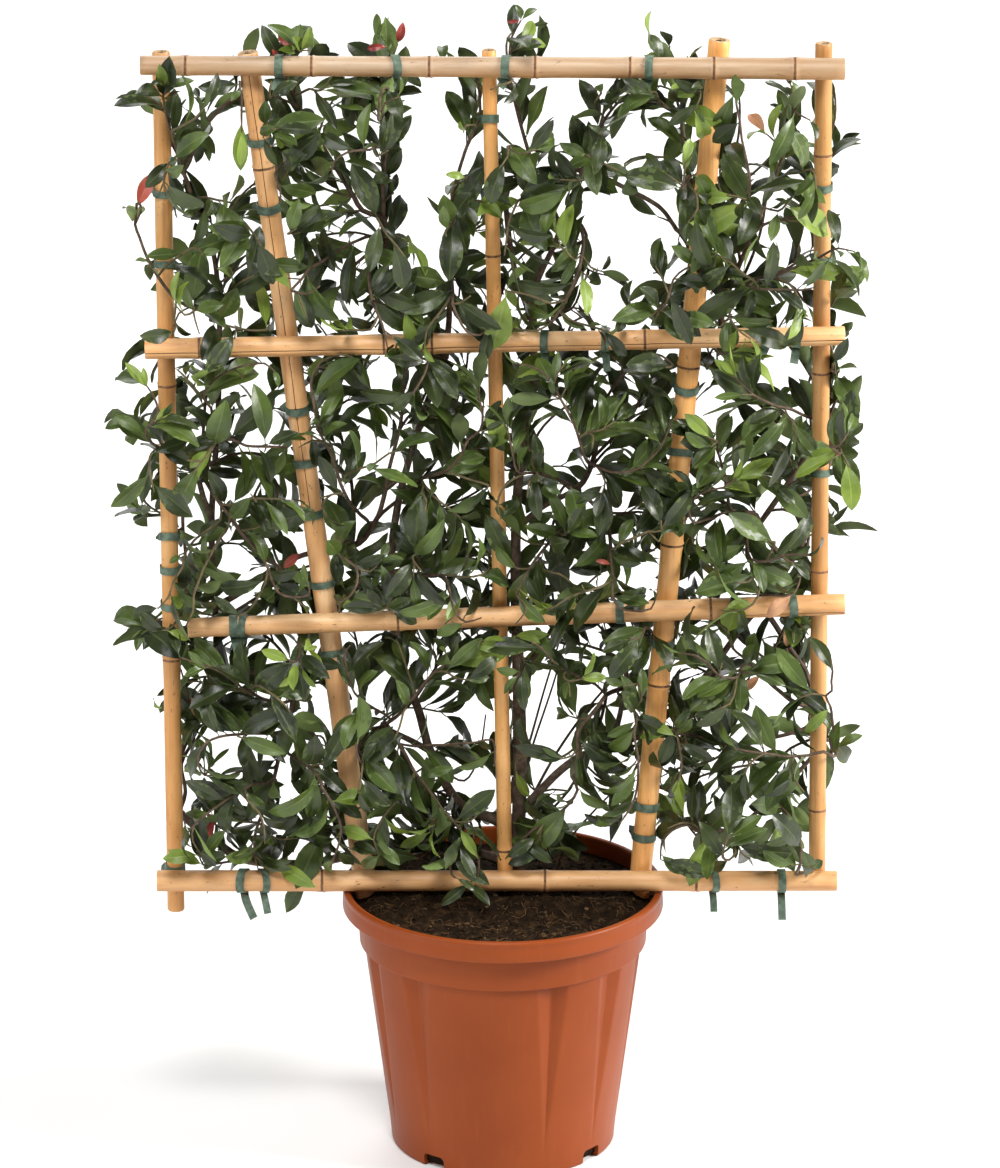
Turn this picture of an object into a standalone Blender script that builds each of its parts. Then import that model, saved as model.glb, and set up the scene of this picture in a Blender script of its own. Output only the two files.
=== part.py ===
"""Potted photinia trained flat on a bamboo frame. Metres, +Z up, the front faces -Y."""

import math
import random

import bmesh
import bpy
from mathutils import Vector
from mathutils.bvhtree import BVHTree

# Driving dimensions
POT_HEIGHT = 0.255
RIM_RADIUS = 0.150
FOOT_RADIUS = 0.105
WALL = 0.003
SOIL_TOP = 0.2390
GAP = 0.0003

# Pot: the body between the foot edge and the collar carries tapering flutes
BODY_FOOT_RADIUS = 0.1066
BODY_TOP_RADIUS = 0.1300
FOOT_CHAMFER = 0.004
EDGE_ROUND = 0.0025
FLUTE_FOOT = 0.020
FLUTE_TOP = 0.1995
FLUTE_WIDTH = 0.031
FLUTE_DEPTH = 0.0060
FLUTE_PITCH = math.radians(30)
FIRST_FLUTE = math.radians(21)
FLUTES_SKIPPED = (5, 11)
NARROWEST_FLUTE = math.radians(1.2)
COLLAR_RADIUS = 0.1355
COLLAR_STEP = 0.200
RIM_FOOT = 0.2345
RIM_INNER = 0.1442
NOTCHES = 4
NOTCH_RADIUS = 0.0120
NOTCH_DROP = 0.0015
NOTCH_START = 0.094
NOTCH_LENGTH = 0.020
FIRST_NOTCH = math.radians(7)

# Bamboo frame: fronts of the upright canes lie in one plane that leans back a little
FRAME_FOOT = 0.265
FRAME_FOOT_Y = -0.0122
FRAME_LEAN = 0.0192
RING_SWELL = 1.05
RING_HALF = 0.004
STRAIGHT_FOOT = 0.004
CANE_SIDES = 8

# Upright canes, left to right: the (x, z) of both ends, their radii, and the heights of the rings
UPRIGHTS = {
    "cane_left": ((-0.3058, 0.2300), (-0.3080, 1.0550), 0.0080, 0.0080, (0.470,)),
    "cane_inner_left": ((-0.1270, SOIL_TOP + GAP), (-0.2300, 1.0540), 0.0104, 0.0094, (0.710, 0.850)),
    "cane_middle": ((0.0026, SOIL_TOP + GAP), (-0.0126, 1.0570), 0.0070, 0.0065, (0.592, 0.865)),
    "cane_inner_right": ((0.1265, SOIL_TOP + GAP), (0.1950, 1.0656), 0.0100, 0.0098, (0.585, 0.755)),
    "cane_right": ((0.2934, 0.2520), (0.2887, 1.0630), 0.0078, 0.0078, (0.560, 0.960)),
}

# Cross bars, top to bottom: the (x, z) of both ends, their radii, and the places of the rings
BARS = {
    "bar_top": ((-0.3260, 1.0470), (0.3072, 1.0440), 0.0088, 0.0100, (-0.172, 0.029, 0.115)),
    "bar_upper": ((-0.3256, 0.7817), (0.3109, 0.7940), 0.0094, 0.0088, (-0.274, 0.129)),
    "bar_lower": ((-0.2901, 0.5141), (0.3147, 0.5374), 0.0090, 0.0098, (-0.094, 0.194)),
    "bar_foot": ((-0.3223, 0.2659), (0.3113, 0.2655), 0.0100, 0.0095, (-0.166, 0.042)),
}

# Flat green ties: the cane each one holds, and where along it (height, or x on a bar)
TIE_WIDTH = 0.008
TIE_THICK = 0.0012
TIES = {
    "tie_left_upper": ("cane_left", 0.857),
    "tie_inner_left_lower": ("cane_inner_left", 0.482),
    "tie_middle": ("cane_middle", 0.993),
    "tie_inner_right_upper": ("cane_inner_right", 0.677),
    "tie_right": ("cane_right", 0.862),
    "tie_bar_top": ("bar_top", -0.201),
    "tie_bar_upper": ("bar_upper", 0.093),
    "tie_bar_lower": ("bar_lower", 0.108),
    "tie_bar_foot_left": ("bar_foot", -0.242),
    "tie_bar_foot_right": ("bar_foot", 0.196),
}

# Stems: parent, points along the limb, start radius and tip radius
LIMBS = {
    "trunk": (None, (
        (0.0142, 0.0120, SOIL_TOP + GAP), (0.0142, 0.0120, 0.2425), (0.0141, 0.0130, 0.2831),
        (0.0159, 0.0140, 0.3929), (0.0121, 0.0150, 0.5311), (0.0129, 0.0160, 0.6286),
        (0.0208, 0.0180, 0.6906), (0.0275, 0.0190, 0.7569), (0.0283, 0.0200, 0.7923),
        (0.0255, 0.0200, 0.8200)), 0.0072, 0.0030),
    "bough_left": ("trunk", (
        (0.0135, 0.0150, 0.2880), (0.0000, 0.0260, 0.3030), (-0.0316, 0.0300, 0.3171),
        (-0.0484, 0.0300, 0.3331), (-0.0679, 0.0280, 0.3760), (-0.0780, 0.0260, 0.4148),
        (-0.0954, 0.0240, 0.4721), (-0.1040, 0.0220, 0.5450), (-0.0960, 0.0220, 0.6250),
        (-0.0740, 0.0240, 0.7050), (-0.0529, 0.0240, 0.7617)), 0.0046, 0.0030),
    "bough_left_leader": ("bough_left", (
        (-0.0545, 0.0240, 0.7560), (-0.0748, 0.0240, 0.7761), (-0.1020, 0.0230, 0.8209),
        (-0.1071, 0.0220, 0.8650)), 0.0028, 0.0024),
    "bough_middle_leader": ("bough_left", (
        (-0.0529, 0.0240, 0.7617), (-0.0495, 0.0240, 0.7950), (-0.0485, 0.0230, 0.8300)), 0.0028, 0.0024),
    "bough_runner": ("trunk", (
        (0.0130, 0.0150, 0.2640), (-0.0120, 0.0340, 0.2680), (-0.0600, 0.0420, 0.2760),
        (-0.1200, 0.0380, 0.2730), (-0.1828, 0.0260, 0.2640), (-0.2407, 0.0200, 0.2705),
        (-0.2750, 0.0180, 0.2950), (-0.3028, 0.0180, 0.3201), (-0.3089, 0.0200, 0.3470)), 0.0046, 0.0038),
    "bough_loop": ("bough_runner", (
        (-0.3089, 0.0200, 0.3470), (-0.3062, 0.0200, 0.3620), (-0.2964, 0.0200, 0.3889),
        (-0.2797, 0.0200, 0.4346), (-0.2553, 0.0210, 0.4564), (-0.2339, 0.0220, 0.4583),
        (-0.2043, 0.0220, 0.4484)), 0.0036, 0.0026),
    "bough_left_riser": ("bough_loop", (
        (-0.2600, 0.0210, 0.4530), (-0.2660, 0.0300, 0.5000), (-0.2690, 0.0320, 0.6000),
        (-0.2620, 0.0340, 0.7000), (-0.2590, 0.0340, 0.8000)), 0.0032, 0.0025),
    "bough_left_cross": ("bough_left_riser", (
        (-0.2665, 0.0300, 0.5180), (-0.2400, 0.0300, 0.5340), (-0.1909, 0.0300, 0.5663),
        (-0.1480, 0.0280, 0.5760)), 0.0027, 0.0024),
    "spur_left": ("bough_left_riser", (
        (-0.2690, 0.0320, 0.6050), (-0.2750, 0.0220, 0.6250), (-0.2790, 0.0140, 0.6450)), 0.0026, 0.0024),
    "spur_low_left": ("bough_left", (
        (-0.0679, 0.0280, 0.3760), (-0.0880, 0.0220, 0.3900), (-0.1050, 0.0180, 0.4000)), 0.0026, 0.0024),
    "bough_leader": ("trunk", (
        (0.0255, 0.0200, 0.8200), (0.0330, 0.0180, 0.8420), (0.0455, 0.0140, 0.8700),
        (0.0520, 0.0100, 0.8900)), 0.0028, 0.0024),
    "bough_arch": ("trunk", (
        (0.0270, 0.0200, 0.7980), (0.0120, 0.0250, 0.8400), (0.0040, 0.0270, 0.8900),
        (0.0046, 0.0280, 0.9214), (0.0227, 0.0280, 0.9364), (0.0489, 0.0280, 0.9421)), 0.0027, 0.0024),
    "bough_arch_end": ("bough_arch", (
        (0.0489, 0.0280, 0.9421), (0.0815, 0.0280, 0.9364), (0.1124, 0.0290, 0.9214),
        (0.1415, 0.0300, 0.9044), (0.1560, 0.0300, 0.8860)), 0.0023, 0.0020),
    "spur_middle": ("trunk", (
        (0.0128, 0.0160, 0.6000), (0.0350, 0.0200, 0.6180), (0.0560, 0.0200, 0.6300)), 0.0027, 0.0024),
    "bough_right": ("trunk", (
        (0.0145, 0.0140, 0.3180), (0.0250, 0.0180, 0.3290), (0.0672, 0.0260, 0.3681),
        (0.1285, 0.0300, 0.3919), (0.1829, 0.0300, 0.4425), (0.2213, 0.0260, 0.4987),
        (0.2468, 0.0240, 0.5311)), 0.0040, 0.0028),
    "bough_right_riser": ("bough_right", (
        (0.2468, 0.0240, 0.5311), (0.2793, 0.0260, 0.5897), (0.2986, 0.0300, 0.6529),
        (0.3036, 0.0320, 0.6838)), 0.0030, 0.0027),
    "bough_right_return": ("bough_right_riser", (
        (0.3036, 0.0320, 0.6838), (0.2738, 0.0300, 0.6925), (0.2399, 0.0280, 0.7243),
        (0.2075, 0.0280, 0.7569), (0.1980, 0.0280, 0.7750), (0.2010, 0.0280, 0.8050)), 0.0026, 0.0024),
    "spur_right": ("bough_right_riser", (
        (0.2640, 0.0250, 0.5620), (0.2460, 0.0200, 0.5850), (0.2370, 0.0160, 0.6050)), 0.0026, 0.0024),
    "bough_right_drop": ("bough_right", (
        (0.2390, 0.0250, 0.5210), (0.2509, 0.0340, 0.5016), (0.2660, 0.0360, 0.4760),
        (0.2812, 0.0360, 0.4533), (0.2890, 0.0340, 0.4300)), 0.0026, 0.0023),
    "spur_low_right": ("bough_right", (
        (0.1020, 0.0280, 0.3820), (0.1080, 0.0220, 0.4100), (0.1120, 0.0160, 0.4350)), 0.0026, 0.0024),
}
LIMB_STEP = 0.036
START_STEP = 0.0003
FIRST_STEP = 0.004
DISC_SIDES = 12
FLARE_RADIUS = 0.0100
FLARE_HEIGHT = 0.022

# Foliage: one mass for each cell of the frame, some cells having two
CROWN_LEFT, CROWN_RIGHT = -0.3705, 0.3495
CROWN_TOP, CROWN_FOOT = 1.1045, 0.1990
CROWN_FRONT, CROWN_BACK = -0.088, 0.098
BODY_LEFT, BODY_RIGHT = -0.335, 0.318
BODY_TOP, BODY_FOOT = 1.062, 0.262
SPACE_GAP = 0.0008
CLEARANCE = 0.0007

TWIG_STEP = 0.030
TWIG_RADIUS = 0.0016
TWIG_GAIN = 0.00013
TWIG_ROOM = 0.0031
GOAL_SPACING = 0.060
GOAL_REACHED = 0.036
GOAL_TRIES = 1500
GOAL_MARGIN = 0.016
GROWTH_ROUNDS = 70
LEAF_PITCH = 0.011
LEAF_SINK = 0.004
TIP_CROWDING = 3.0
LEAF_LENGTH = 0.076
LEAF_WIDTH = 0.038
LEAF_WIDEST = 0.42
LEAF_ARCH = 0.0030
LEAF_ROOT_CLEAR = 0.18
LEAF_TURNS = 6
TIP_LEAF_SHORTEST, TIP_LEAF_LONGEST = 0.035, 0.100
WELD = 1e-6
GOLDEN_ANGLE = math.radians(137.5)

# The mass's bough, its columns and rows in the frame, its seed and the most leaves it carries
MASSES = {
    "foliage_low_left": ("bough_loop", ("outer_left", "inner_left"), ("foot", "lower"), 11, 36),
    "foliage_mid_left": ("spur_left", ("outer_left", "inner_left"), ("lower", "upper"), 12, 37),
    "foliage_top_left": ("bough_left_riser", ("outer_left", "inner_left"), ("upper", "top"), 13, 29),
    "foliage_low_inner_left": ("spur_low_left", ("inner_left", "middle"), ("foot", "lower"), 14, 33),
    "foliage_mid_inner_left": ("bough_left_cross", ("inner_left", "middle"), ("lower", "upper"), 15, 39),
    "foliage_top_inner_left": ("bough_left_leader", ("inner_left", "leader_split"), ("upper", "top"), 16, 34),
    "foliage_top_middle": ("bough_middle_leader", ("leader_split", "middle"), ("upper", "top"), 37, 16),
    "foliage_low_inner_right": ("spur_low_right", ("middle", "inner_right"), ("foot", "lower"), 18, 24),
    "foliage_mid_inner_right": ("spur_middle", ("middle", "inner_right"), ("lower", "upper"), 19, 37),
    "foliage_top_inner_right": ("bough_leader", ("middle", "arch_split"), ("upper", "top"), 20, 29),
    "foliage_top_arch": ("bough_arch_end", ("arch_split", "inner_right"), ("upper", "top"), 21, 16),
    "foliage_low_right": ("bough_right_drop", ("inner_right", "outer_right"), ("foot", "lower"), 22, 31),
    "foliage_mid_right": ("spur_right", ("inner_right", "outer_right"), ("lower", "upper"), 23, 37),
    "foliage_top_right": ("bough_right_return", ("inner_right", "outer_right"), ("upper", "top"), 24, 34),
}

# Sky that shows through the crown: x from and to, z from and to
SKY = (
    (-0.295, -0.226, 0.925, 1.032), (-0.092, -0.022, 0.890, 1.030), (0.002, 0.050, 0.968, 1.032),
    (0.090, 0.168, 0.958, 1.032), (0.090, 0.168, 0.828, 0.880), (0.204, 0.281, 0.988, 1.030),
    (0.038, 0.070, 0.662, 0.715), (0.196, 0.281, 0.693, 0.742), (-0.232, -0.190, 0.537, 0.574),
    (0.030, 0.098, 0.300, 0.470), (-0.050, -0.008, 0.320, 0.430), (-0.132, -0.096, 0.438, 0.496),
    (0.190, 0.262, 0.350, 0.500), (-0.345, -0.318, 0.300, 0.410), (-0.345, -0.316, 0.800, 0.900),
    (0.302, 0.345, 0.440, 0.560), (0.304, 0.345, 0.700, 0.750), (-0.345, -0.318, 0.560, 0.630),
)

# The furthest leaf tips of the crown's outline: x, y, z
TIPS = (
    (-0.2087, -0.010, 1.0940), (-0.1820, 0.020, 1.0800), (-0.1057, 0.000, 1.0910), (-0.0538, 0.030, 1.0640),
    (0.0152, -0.010, 1.1035), (0.0331, 0.020, 1.0985), (0.1406, 0.010, 1.1000), (0.1720, 0.030, 1.0600),
    (0.2150, 0.020, 1.0204), (0.2490, 0.040, 1.0250), (0.3215, -0.010, 0.9849), (0.3253, 0.020, 0.8675),
    (0.3226, -0.020, 0.8120), (0.3115, 0.030, 0.7610), (0.3485, 0.000, 0.6264), (0.3234, 0.030, 0.5905),
    (0.3310, 0.000, 0.4061), (0.3176, 0.040, 0.3764), (-0.1731, -0.020, 0.2063), (-0.2038, 0.000, 0.2234),
    (-0.2784, -0.010, 0.2415), (-0.3248, 0.010, 0.4358), (-0.3638, -0.020, 0.5340), (-0.3487, 0.010, 0.4950),
    (-0.3697, -0.010, 0.7131), (-0.3554, 0.020, 0.6457), (-0.3558, -0.020, 0.7650), (-0.3398, 0.000, 1.0204),
    (-0.3327, 0.020, 0.9080), (-0.2494, 0.020, 1.0603), (0.0300, -0.086, 0.6600), (-0.1200, -0.086, 0.6900),
    (-0.1100, 0.096, 0.6400), (0.0900, 0.096, 0.6700), (0.2400, -0.070, 0.9000), (-0.2500, 0.085, 0.4000),
)


def material(name, colour, roughness):
    made = bpy.data.materials.new(name)
    made.use_nodes = True
    shader = made.node_tree.nodes["Principled BSDF"]
    shader.inputs["Base Color"].default_value = (*colour, 1)
    shader.inputs["Roughness"].default_value = roughness
    shader.inputs["Metallic"].default_value = 0.0
    return made


def add_object(name, data, collection, finish=None):
    made = bpy.data.objects.new(name, data)
    collection.objects.link(made)
    if finish:
        data.materials.append(finish)
    return made


def mesh_from(name, bm):
    bmesh.ops.recalc_face_normals(bm, faces=bm.faces)
    mesh = bpy.data.meshes.new(name)
    bm.to_mesh(mesh)
    bm.free()
    return mesh


def loft(name, rings):
    """A closed mesh through rings of equal length, with a flat cap on the first and on the last.

    Every side is split along the same diagonal, whichever way its rings run, so nested walls stay apart.
    """
    bm = bmesh.new()
    loops = [[bm.verts.new(point) for point in ring] for ring in rings]
    count = len(loops[0])
    for first, second in zip(loops, loops[1:]):
        rising = first[0].co.z <= second[0].co.z
        for i in range(count):
            j = (i + 1) % count
            a, b, c, d = first[i], first[j], second[j], second[i]
            for corners in ((a, b, c), (a, c, d)) if rising else ((a, b, d), (b, c, d)):
                bm.faces.new(corners)
    bm.faces.new(loops[0][::-1])
    bm.faces.new(loops[-1])
    return mesh_from(name, bm)


def flute_share(height):
    """How far a flute has opened at this height: 0 at the foot and 1 under the collar."""
    return min(max((height - FLUTE_FOOT) / (FLUTE_TOP - FLUTE_FOOT), 0.0), 1.0)


def fluted_ring(radius, height, depth):
    """One level of the pot: its flutes are cut this deep, and keep their columns where the wall is plain."""
    half = max(0.5 * FLUTE_WIDTH * flute_share(height) / radius, NARROWEST_FLUTE)
    ring = []
    previous = None
    centres = [FIRST_FLUTE + i * FLUTE_PITCH for i in range(12) if i not in FLUTES_SKIPPED]
    for centre in centres + [centres[0] + math.tau]:
        if previous is not None:
            start, end = previous + half, centre - half
            fillers = 3 if centre - previous > 1.5 * FLUTE_PITCH else 1
            for k in range(fillers + 2):
                ring.append((start + (end - start) * k / (fillers + 1), 0.0))
        if centre < centres[0] + math.tau:
            ring.append((centre, depth))
        previous = centre
    return [
        Vector(((radius - cut) * math.sin(angle), -(radius - cut) * math.cos(angle), height))
        for angle, cut in ring
    ]


def wall_levels(inset):
    """Levels of the fluted wall from the foot up to the collar's step, moved inwards by inset."""
    slope = (BODY_TOP_RADIUS - BODY_FOOT_RADIUS) / (FLUTE_TOP - FLUTE_FOOT)
    levels = []
    for height in (FLUTE_FOOT, FLUTE_TOP):
        radius = BODY_FOOT_RADIUS + slope * (height - FLUTE_FOOT)
        levels.append((radius - inset, height, FLUTE_DEPTH * flute_share(height)))
    return levels


def make_pot(parts, cutters, finish):
    outside = [(FOOT_RADIUS - FOOT_CHAMFER, 0.0, 0.0), (FOOT_RADIUS, 1.2 * FOOT_CHAMFER, 0.0)]
    outside += wall_levels(0.0)
    outside += [
        (COLLAR_RADIUS - EDGE_ROUND, COLLAR_STEP + 0.0008, 0.0),
        (COLLAR_RADIUS, RIM_FOOT - 0.001, 0.0),
        (RIM_RADIUS - 0.0015, RIM_FOOT, 0.0),
        (RIM_RADIUS, POT_HEIGHT - EDGE_ROUND, 0.0),
        (RIM_RADIUS - EDGE_ROUND, POT_HEIGHT, 0.0),
    ]
    inside = [
        (RIM_INNER + 0.0015, POT_HEIGHT, 0.0),
        (RIM_INNER, RIM_FOOT + 0.0028, 0.0),
        (COLLAR_RADIUS - WALL, RIM_FOOT + 0.0020, 0.0),
    ]
    inside += wall_levels(WALL)[::-1]
    inside.append((FOOT_RADIUS - WALL - 0.002, WALL, 0.0))
    rings = [fluted_ring(*level) for level in outside + inside]
    pot = add_object("pot", loft("pot", rings), parts, finish)
    for i in range(NOTCHES):
        angle = FIRST_NOTCH + (i + 0.5) * math.tau / NOTCHES
        outward = Vector((math.sin(angle), -math.cos(angle), 0))
        bpy.ops.mesh.primitive_cylinder_add(vertices=12, radius=NOTCH_RADIUS, depth=NOTCH_LENGTH)
        cutter = bpy.context.object
        cutter.name = f"notch_cutter_{i}"
        cutter.location = outward * (NOTCH_START + NOTCH_LENGTH / 2) + Vector((0, 0, NOTCH_DROP))
        cutter.rotation_mode = "QUATERNION"
        cutter.rotation_quaternion = outward.to_track_quat("Z", "Y")
        for holder in cutter.users_collection:
            holder.objects.unlink(cutter)
        cutters.objects.link(cutter)
        cutter.hide_render = True
        cutter.display_type = "WIRE"
    cut = pot.modifiers.new("notches", "BOOLEAN")
    cut.operation = "DIFFERENCE"
    cut.operand_type = "COLLECTION"
    cut.collection = cutters
    cut.solver = "EXACT"
    return pot


def make_soil(parts, finish):
    inset = WALL + GAP
    levels = [(FOOT_RADIUS - inset - 0.002, WALL + GAP, 0.0)]
    levels += wall_levels(inset)
    levels += [
        (COLLAR_RADIUS - inset, RIM_FOOT + 0.0023, 0.0),
        (RIM_INNER - GAP, RIM_FOOT + 0.0033, 0.0),
        (RIM_INNER - GAP, SOIL_TOP, 0.0),
    ]
    return add_object("soil", loft("soil", [fluted_ring(*level) for level in levels]), parts, finish)


def frame_front(height):
    """The y of the plane that the fronts of the upright canes lie in."""
    return FRAME_FOOT_Y + (height - FRAME_FOOT) * FRAME_LEAN


def ringed(start, end, radius_start, radius_end, rings, axis):
    """Points and radii of a cane between start and end, swelling a little at each ring."""
    length = end[axis] - start[axis]
    marks = [(0.0, 1.0), (1.0, 1.0)]
    for ring in rings:
        share = (ring - start[axis]) / length
        near = RING_HALF / abs(length)
        marks += [(share - near, 1.0), (share, RING_SWELL), (share + near, 1.0)]
    points = []
    for share, swell in sorted(marks):
        radius = radius_start + (radius_end - radius_start) * share
        points.append((start.lerp(end, share), radius * swell))
    return points


def tube_object(name, points, sides, parts, finish):
    """A round bar through points, each with its own radius, as a curve with filled ends."""
    curve = bpy.data.curves.new(name, "CURVE")
    curve.dimensions = "3D"
    curve.bevel_depth = 1.0
    curve.bevel_resolution = (sides - 4) // 2
    curve.use_fill_caps = True
    spline = curve.splines.new("POLY")
    spline.points.add(len(points) - 1)
    for point, (place, radius) in zip(spline.points, points):
        point.co = (*place, 1)
        point.radius = radius
    return add_object(name, curve, parts, finish)


def upright_ends(name):
    """Both ends of an upright cane's centre line, and its radii."""
    (x0, z0), (x1, z1), r0, r1, _ = UPRIGHTS[name]
    start = Vector((x0, frame_front(z0) + r0, z0))
    end = Vector((x1, frame_front(z1) + r1, z1))
    return start, end, r0, r1


def bar_ends(name):
    """Both ends of a cross bar's centre line, and its radii."""
    (x0, z0), (x1, z1), r0, r1, _ = BARS[name]
    start = Vector((x0, frame_front(z0) - r0 - GAP, z0))
    end = Vector((x1, frame_front(z1) - r1 - GAP, z1))
    return start, end, r0, r1


def stands_in_soil(cane):
    return cane in UPRIGHTS and UPRIGHTS[cane][0][1] == SOIL_TOP + GAP


def make_frame(parts, finish):
    for name, (*_, rings) in UPRIGHTS.items():
        start, end, r0, r1 = upright_ends(name)
        points = ringed(start, end, r0, r1, rings, 2)
        if stands_in_soil(name):
            points.insert(1, (start + Vector((0, 0, STRAIGHT_FOOT)), r0))
        tube_object(name, points, CANE_SIDES, parts, finish)
    for name, (*_, rings) in BARS.items():
        start, end, r0, r1 = bar_ends(name)
        tube_object(name, ringed(start, end, r0, r1, rings, 0), CANE_SIDES, parts, finish)


def cane_at(name, place):
    """Centre, direction and radius of a cane at a height, or at an x on a bar."""
    axis, ends = (2, upright_ends(name)) if name in UPRIGHTS else (0, bar_ends(name))
    start, end, r0, r1 = ends
    share = (place - start[axis]) / (end[axis] - start[axis])
    return start.lerp(end, share), (end - start).normalized(), r0 + (r1 - r0) * share


def make_ties(parts, finish):
    """Open bands with the canes' own sides, wider where a straight foot has turned a cane's sides."""
    corner = 1 / math.cos(math.pi / CANE_SIDES)
    for name, (cane, place) in TIES.items():
        centre, along, radius = cane_at(cane, place)
        reach = along * TIE_WIDTH / 2
        if stands_in_soil(cane):
            radius *= corner
        radius += GAP * corner
        points = [(centre - reach, radius), (centre + reach, radius)]
        band = tube_object(name, points, CANE_SIDES, parts, finish)
        band.data.use_fill_caps = False
        solid = band.modifiers.new("thickness", "SOLIDIFY")
        solid.thickness = TIE_THICK
        solid.offset = 1.0


def smooth_path(points, step):
    """Points about a step apart on a smooth curve through the given points."""
    points = [Vector(point) for point in points]
    padded = [2 * points[0] - points[1], *points, 2 * points[-1] - points[-2]]
    path = [points[0]]
    for before, start, end, after in zip(padded, padded[1:], padded[2:], padded[3:]):
        count = max(1, round((end - start).length / step))
        for k in range(1, count + 1):
            t = k / count
            path.append(0.5 * (
                2 * start + (end - before) * t
                + (2 * before - 5 * start + 4 * end - after) * t * t
                + (3 * start - before - 3 * end + after) * t * t * t))
    return path


def distance_to_limb(point, limb):
    """How far a point lies outside a limb that is given as points with radii."""
    best = math.inf
    for (a, ra), (b, rb) in zip(limb, limb[1:]):
        along = b - a
        share = min(max((point - a).dot(along) / along.length_squared, 0.0), 1.0)
        gap = (point - a - along * share).length - (ra + (rb - ra) * share)
        best = min(best, gap)
    return best


def end_disc(place, heading, radius):
    """The corners of a limb's flat end."""
    side = heading.orthogonal().normalized()
    other = heading.cross(side)
    angles = [k * math.tau / DISC_SIDES for k in range(DISC_SIDES)]
    return [place + radius * (side * math.cos(a) + other * math.sin(a)) for a in angles]


def clear_start(path, radius, limbs, skin):
    """Shortens a path's start until its flat end lies just clear of the limbs it grows from."""
    fine = smooth_path(path, START_STEP)
    headings = [(after - before).normalized() for before, after in zip(fine, fine[2:])]
    clear = 0
    while min(distance_to_limb(fine[clear], limb) for limb in limbs) < radius + GAP:
        clear += 1
    while clear and not touches(end_disc(fine[clear], headings[clear], radius), [range(DISC_SIDES)], skin):
        clear -= 1
    start, heading = fine[clear + 1], headings[clear + 1]
    ahead = [
        point for point in path
        if (point - start).dot(heading) > FIRST_STEP
        or (point - path[-1]).length < (start - path[-1]).length - FIRST_STEP
    ]
    return [start, *ahead]


def limb_path(name, shapes, made):
    """Points and radii of a limb, its start just clear of its parent and of its siblings."""
    parent, points, r0, r1 = LIMBS[name]
    path = smooth_path(points, LIMB_STEP)
    if parent:
        near = [parent] + [other for other in shapes if LIMBS[other][0] == parent]
        skin = skin_tree([made[other] for other in near], GAP)
        path = clear_start(path, r0, [shapes[other] for other in near], skin)
    lengths = [0.0]
    for a, b in zip(path, path[1:]):
        lengths.append(lengths[-1] + (b - a).length)
    shape = []
    for place, run in zip(path, lengths):
        radius = r0 + (r1 - r0) * run / lengths[-1]
        if not parent:
            radius += (FLARE_RADIUS - r0) * math.exp(-((run / FLARE_HEIGHT) ** 1.5))
        shape.append((place, radius))
    return shape


def make_limbs(parts, finish):
    shapes, made = {}, {}
    for name in LIMBS:
        shapes[name] = limb_path(name, shapes, made)
        made[name] = tube_object(name, shapes[name], 8 if name == "trunk" else 6, parts, finish)
        bpy.context.view_layer.update()
    return shapes


def line(a, b):
    """The height or x that runs straight from a at one end to b at the other: f(t) = a + b t."""
    (t0, v0), (t1, v1) = a, b
    slope = (v1 - v0) / (t1 - t0)
    return lambda t: v0 + slope * (t - t0)


def upright_line(name):
    start, end, *_ = upright_ends(name)
    return line((start.z, start.x), (end.z, end.x))


def bar_line(name):
    start, end, *_ = bar_ends(name)
    return line((start.x, start.z), (end.x, end.z))


COLUMNS = {
    "outer_left": lambda z: CROWN_LEFT,
    "inner_left": upright_line("cane_inner_left"),
    "leader_split": lambda z: -0.082,
    "middle": upright_line("cane_middle"),
    "arch_split": lambda z: 0.108,
    "inner_right": upright_line("cane_inner_right"),
    "outer_right": lambda z: CROWN_RIGHT,
}
ROWS = {
    "foot": lambda x: CROWN_FOOT,
    "lower": bar_line("bar_lower"),
    "upper": bar_line("bar_upper"),
    "top": lambda x: CROWN_TOP,
}


class Space:
    """The room of one mass: between two columns and two rows, from the crown's front to its back."""

    def __init__(self, columns, rows):
        self.left, self.right = (COLUMNS[name] for name in columns)
        self.low, self.high = (ROWS[name] for name in rows)

    def holds(self, point):
        return (
            self.left(point.z) + SPACE_GAP < point.x < self.right(point.z) - SPACE_GAP
            and self.low(point.x) + SPACE_GAP < point.z < self.high(point.x) - SPACE_GAP
            and CROWN_FRONT < point.y < CROWN_BACK
        )

    def goals(self, rng):
        """Seeded points that the twigs grow to, evenly spaced and away from the sky."""
        low, high = self.low(0.0), self.high(0.0)
        left, right = self.left((low + high) / 2), self.right((low + high) / 2)
        found = []
        for _ in range(GOAL_TRIES):
            point = Vector((
                rng.uniform(left - LEAF_WIDTH, right + LEAF_WIDTH),
                rng.uniform(CROWN_FRONT + GOAL_MARGIN, CROWN_BACK - GOAL_MARGIN),
                rng.uniform(low - GOAL_MARGIN, high + GOAL_MARGIN)))
            if not self.holds(point) or in_sky(point) or outside_crown(point):
                continue
            if all((point - other).length > GOAL_SPACING for other in found):
                found.append(point)
        return found


def in_sky(point):
    return any(x0 < point.x < x1 and z0 < point.z < z1 for x0, x1, z0, z1 in SKY)


def outside_crown(point):
    """The crown's body ends short of its furthest tips."""
    return not (BODY_LEFT < point.x < BODY_RIGHT and BODY_FOOT < point.z < BODY_TOP)


def skin_tree(objects, swell):
    """A search tree of the objects' surfaces, swollen by a clearance."""
    graph = bpy.context.evaluated_depsgraph_get()
    places, faces = [], []
    for made in objects:
        evaluated = made.evaluated_get(graph)
        mesh = evaluated.to_mesh()
        matrix = made.matrix_world
        turn = matrix.to_3x3()
        first = len(places)
        for vertex in mesh.vertices:
            places.append(matrix @ vertex.co + (turn @ vertex.normal) * swell)
        for face in mesh.polygons:
            faces.append([first + index for index in face.vertices])
        evaluated.to_mesh_clear()
    return BVHTree.FromPolygons(places, faces)


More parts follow.
